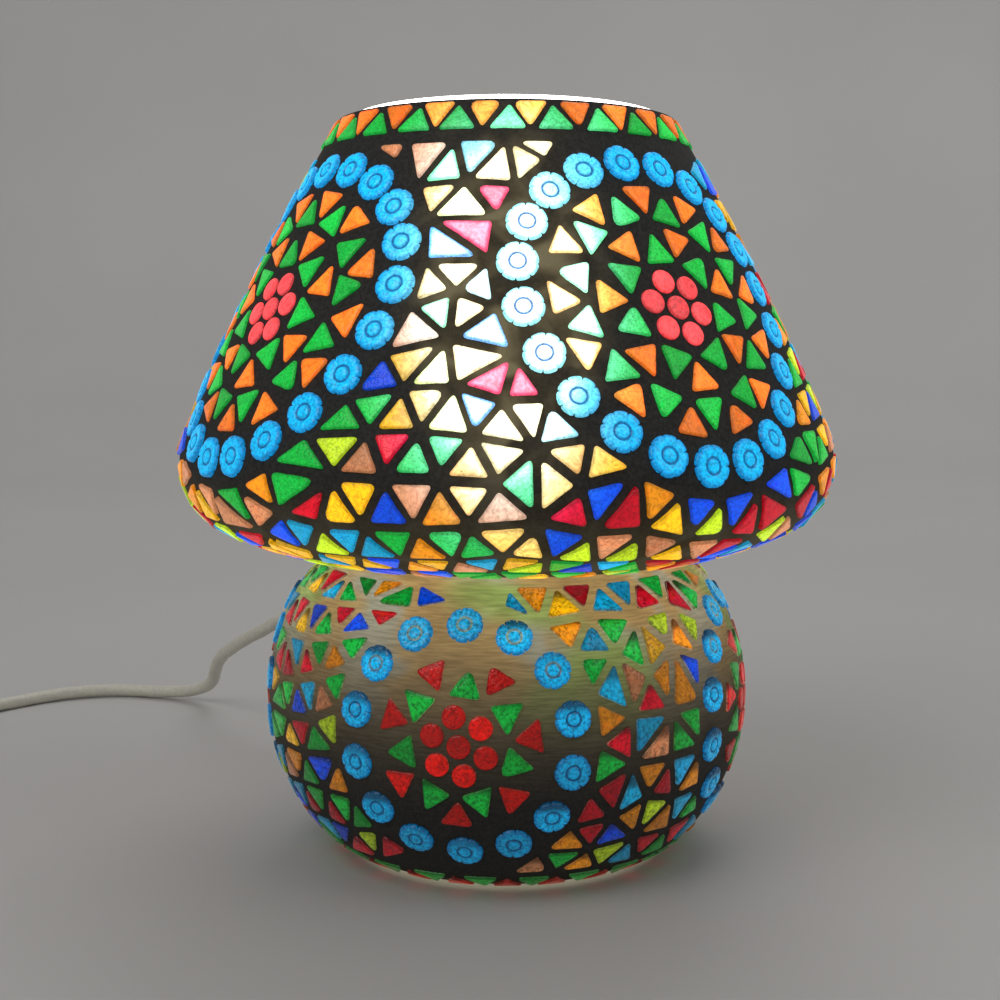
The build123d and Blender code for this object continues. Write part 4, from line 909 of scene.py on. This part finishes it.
FINISHES = {
    "body_glass": body_glass(),
    "zinc_steel": plain("zinc_steel", (0.55, 0.56, 0.58), 0.32, metallic=1.0, scale=600.0),
    "silicone": plain("silicone", (0.55, 0.55, 0.53), 0.5),
    "black_plastic": plain("black_plastic", (0.018, 0.018, 0.018), 0.38),
    "ceramic": plain("ceramic", (0.80, 0.78, 0.72), 0.25),
    "brass": plain("brass", (0.72, 0.50, 0.20), 0.28, metallic=1.0, scale=600.0),
    "solder": plain("solder", (0.62, 0.62, 0.62), 0.35, metallic=1.0),
    "nickel": plain("nickel", (0.66, 0.63, 0.57), 0.22, metallic=1.0, scale=600.0),
    "white_plastic": plain("white_plastic", (0.80, 0.80, 0.78), 0.36, dust=0.03),
    "opal": lit_globe(),
    "led_board": circuit_board(),
    "led_phosphor": lit_chip(),
    "rubber": plain("rubber", (0.03, 0.03, 0.03), 0.65, dust=0.3),
    "cord_pvc": cord_vinyl,
    "switch_plastic": plain("switch_plastic", (0.66, 0.64, 0.56), 0.34, dust=0.03),
}
GROUTS = {"shade_grout": shade_grout(), "base_grout": base_grout()}
SLOT_OF = {
    "glass_body": "body_glass", "holder_spider": "zinc_steel", "spider_pads": "silicone",
    "holder_shell": "black_plastic", "holder_cap": "black_plastic", "cord_grip": "black_plastic",
    "holder_clamp_rings": "black_plastic", "holder_insulator": "ceramic", "holder_screw_shell": "brass",
    "holder_centre_contact": "brass", "terminal_screws": "brass", "bulb_centre_contact": "solder",
    "bulb_insulator": "black_plastic", "bulb_screw_cap": "nickel", "bulb_housing": "white_plastic",
    "bulb_globe": "opal", "led_board": "led_board", "led_chips": "led_phosphor",
    "led_driver_board": "led_board", "cord_grommet": "rubber", "switch_lower_half": "switch_plastic",
    "switch_upper_half": "switch_plastic", "switch_screws": "zinc_steel", "switch_rocker": "switch_plastic",
    "switch_contacts": "brass", "plug_body": "switch_plastic", "plug_pins": "nickel",
}
for node, finish in SLOT_OF.items():
    NODES[node].data.materials.clear()
    NODES[node].data.materials.append(FINISHES[finish])
for node, material in GROUTS.items():
    NODES[node].data.materials.clear()
    NODES[node].data.materials.append(material)

# ---------------------------------------------------------------- stage

FLAT_RADIUS = 0.6
FLOOR_RADIUS = 2.2
CURVE_RADIUS = 1.0
CURVE_STEPS = 12
WALL_HEIGHT = 2.6
FLOOR_SIDES = 96


def studio():
    """A pale floor that curves up into a wall all round."""
    profile = [(0.0, 0.0), (FLAT_RADIUS, 0.0)]
    for k in range(CURVE_STEPS + 1):
        angle = 0.5 * math.pi * k / CURVE_STEPS
        bend = CURVE_RADIUS * (1.0 - math.sin(angle))
        profile.append((FLOOR_RADIUS - bend, CURVE_RADIUS * (1.0 - math.cos(angle))))
    profile.append((FLOOR_RADIUS, WALL_HEIGHT))
    vertices = []
    faces = []
    for r, z in profile:
        for j in range(FLOOR_SIDES):
            angle = 2 * math.pi * j / FLOOR_SIDES
            vertices.append((r * math.sin(angle), r * math.cos(angle), z))
    for k in range(len(profile) - 1):
        for j in range(FLOOR_SIDES):
            following = (j + 1) % FLOOR_SIDES
            row = k * FLOOR_SIDES
            below = (k + 1) * FLOOR_SIDES
            faces.append((row + j, row + following, below + following, below + j))
    mesh = bpy.data.meshes.new("studio_floor")
    mesh.from_pydata(vertices, [], faces)
    mesh.polygons.foreach_set("use_smooth", [True] * len(mesh.polygons))
    s = Shader("studio_floor")
    mottle = s.noise(3.0, 2.0)
    colour = s.mix(mottle, (0.50, 0.49, 0.48), (0.56, 0.55, 0.54))
    mesh.materials.append(s.surface(base_color=colour, roughness=0.55))
    floor = bpy.data.objects.new("studio_floor", mesh)
    bpy.context.scene.collection.objects.link(floor)


LIGHT_SIZE = 1.4
LIGHTS = (
    ("key_light", (-1.1, -1.3, 1.7), 13.0, (0.0, 0.0, 0.1)),
    ("fill_light", (1.4, -0.6, 1.4), 5.0, (0.0, 0.0, 0.1)),
    ("back_light", (0.3, 1.3, 1.9), 9.0, (0.0, 0.6, 0.1)),
)


def soft_light(name, place, watts, aim):
    """A square soft light."""
    data = bpy.data.lights.new(name, "AREA")
    data.size = LIGHT_SIZE
    data.energy = watts
    data.color = (1.0, 0.98, 0.95)
    light = bpy.data.objects.new(name, data)
    light.location = place
    light.rotation_mode = "QUATERNION"
    light.rotation_quaternion = (Vector(aim) - Vector(place)).to_track_quat("-Z", "Y")
    bpy.context.scene.collection.objects.link(light)


studio()
for name, place, watts, aim in LIGHTS:
    soft_light(name, place, watts, aim)

world = bpy.data.worlds.new("studio")
world.use_nodes = True
background = world.node_tree.nodes["Background"]
background.inputs["Color"].default_value = (0.9, 0.95, 1.0, 1.0)
background.inputs["Strength"].default_value = 0.32
bpy.context.scene.world = world

scene = bpy.context.scene
scene.view_settings.view_transform = "Standard"
scene.view_settings.look = "None"

camera_data = bpy.data.cameras.new("camera")
camera_data.lens = 53.1
camera_data.sensor_width = 36.0
camera_data.clip_start = 0.01
camera_data.clip_end = 50.0
camera = bpy.data.objects.new("camera", camera_data)
camera.location = (-0.002, -0.4583, 0.1596)
camera.rotation_euler = (math.radians(83.53), 0.0, 0.0)
bpy.context.scene.collection.objects.link(camera)
bpy.context.scene.camera = camera
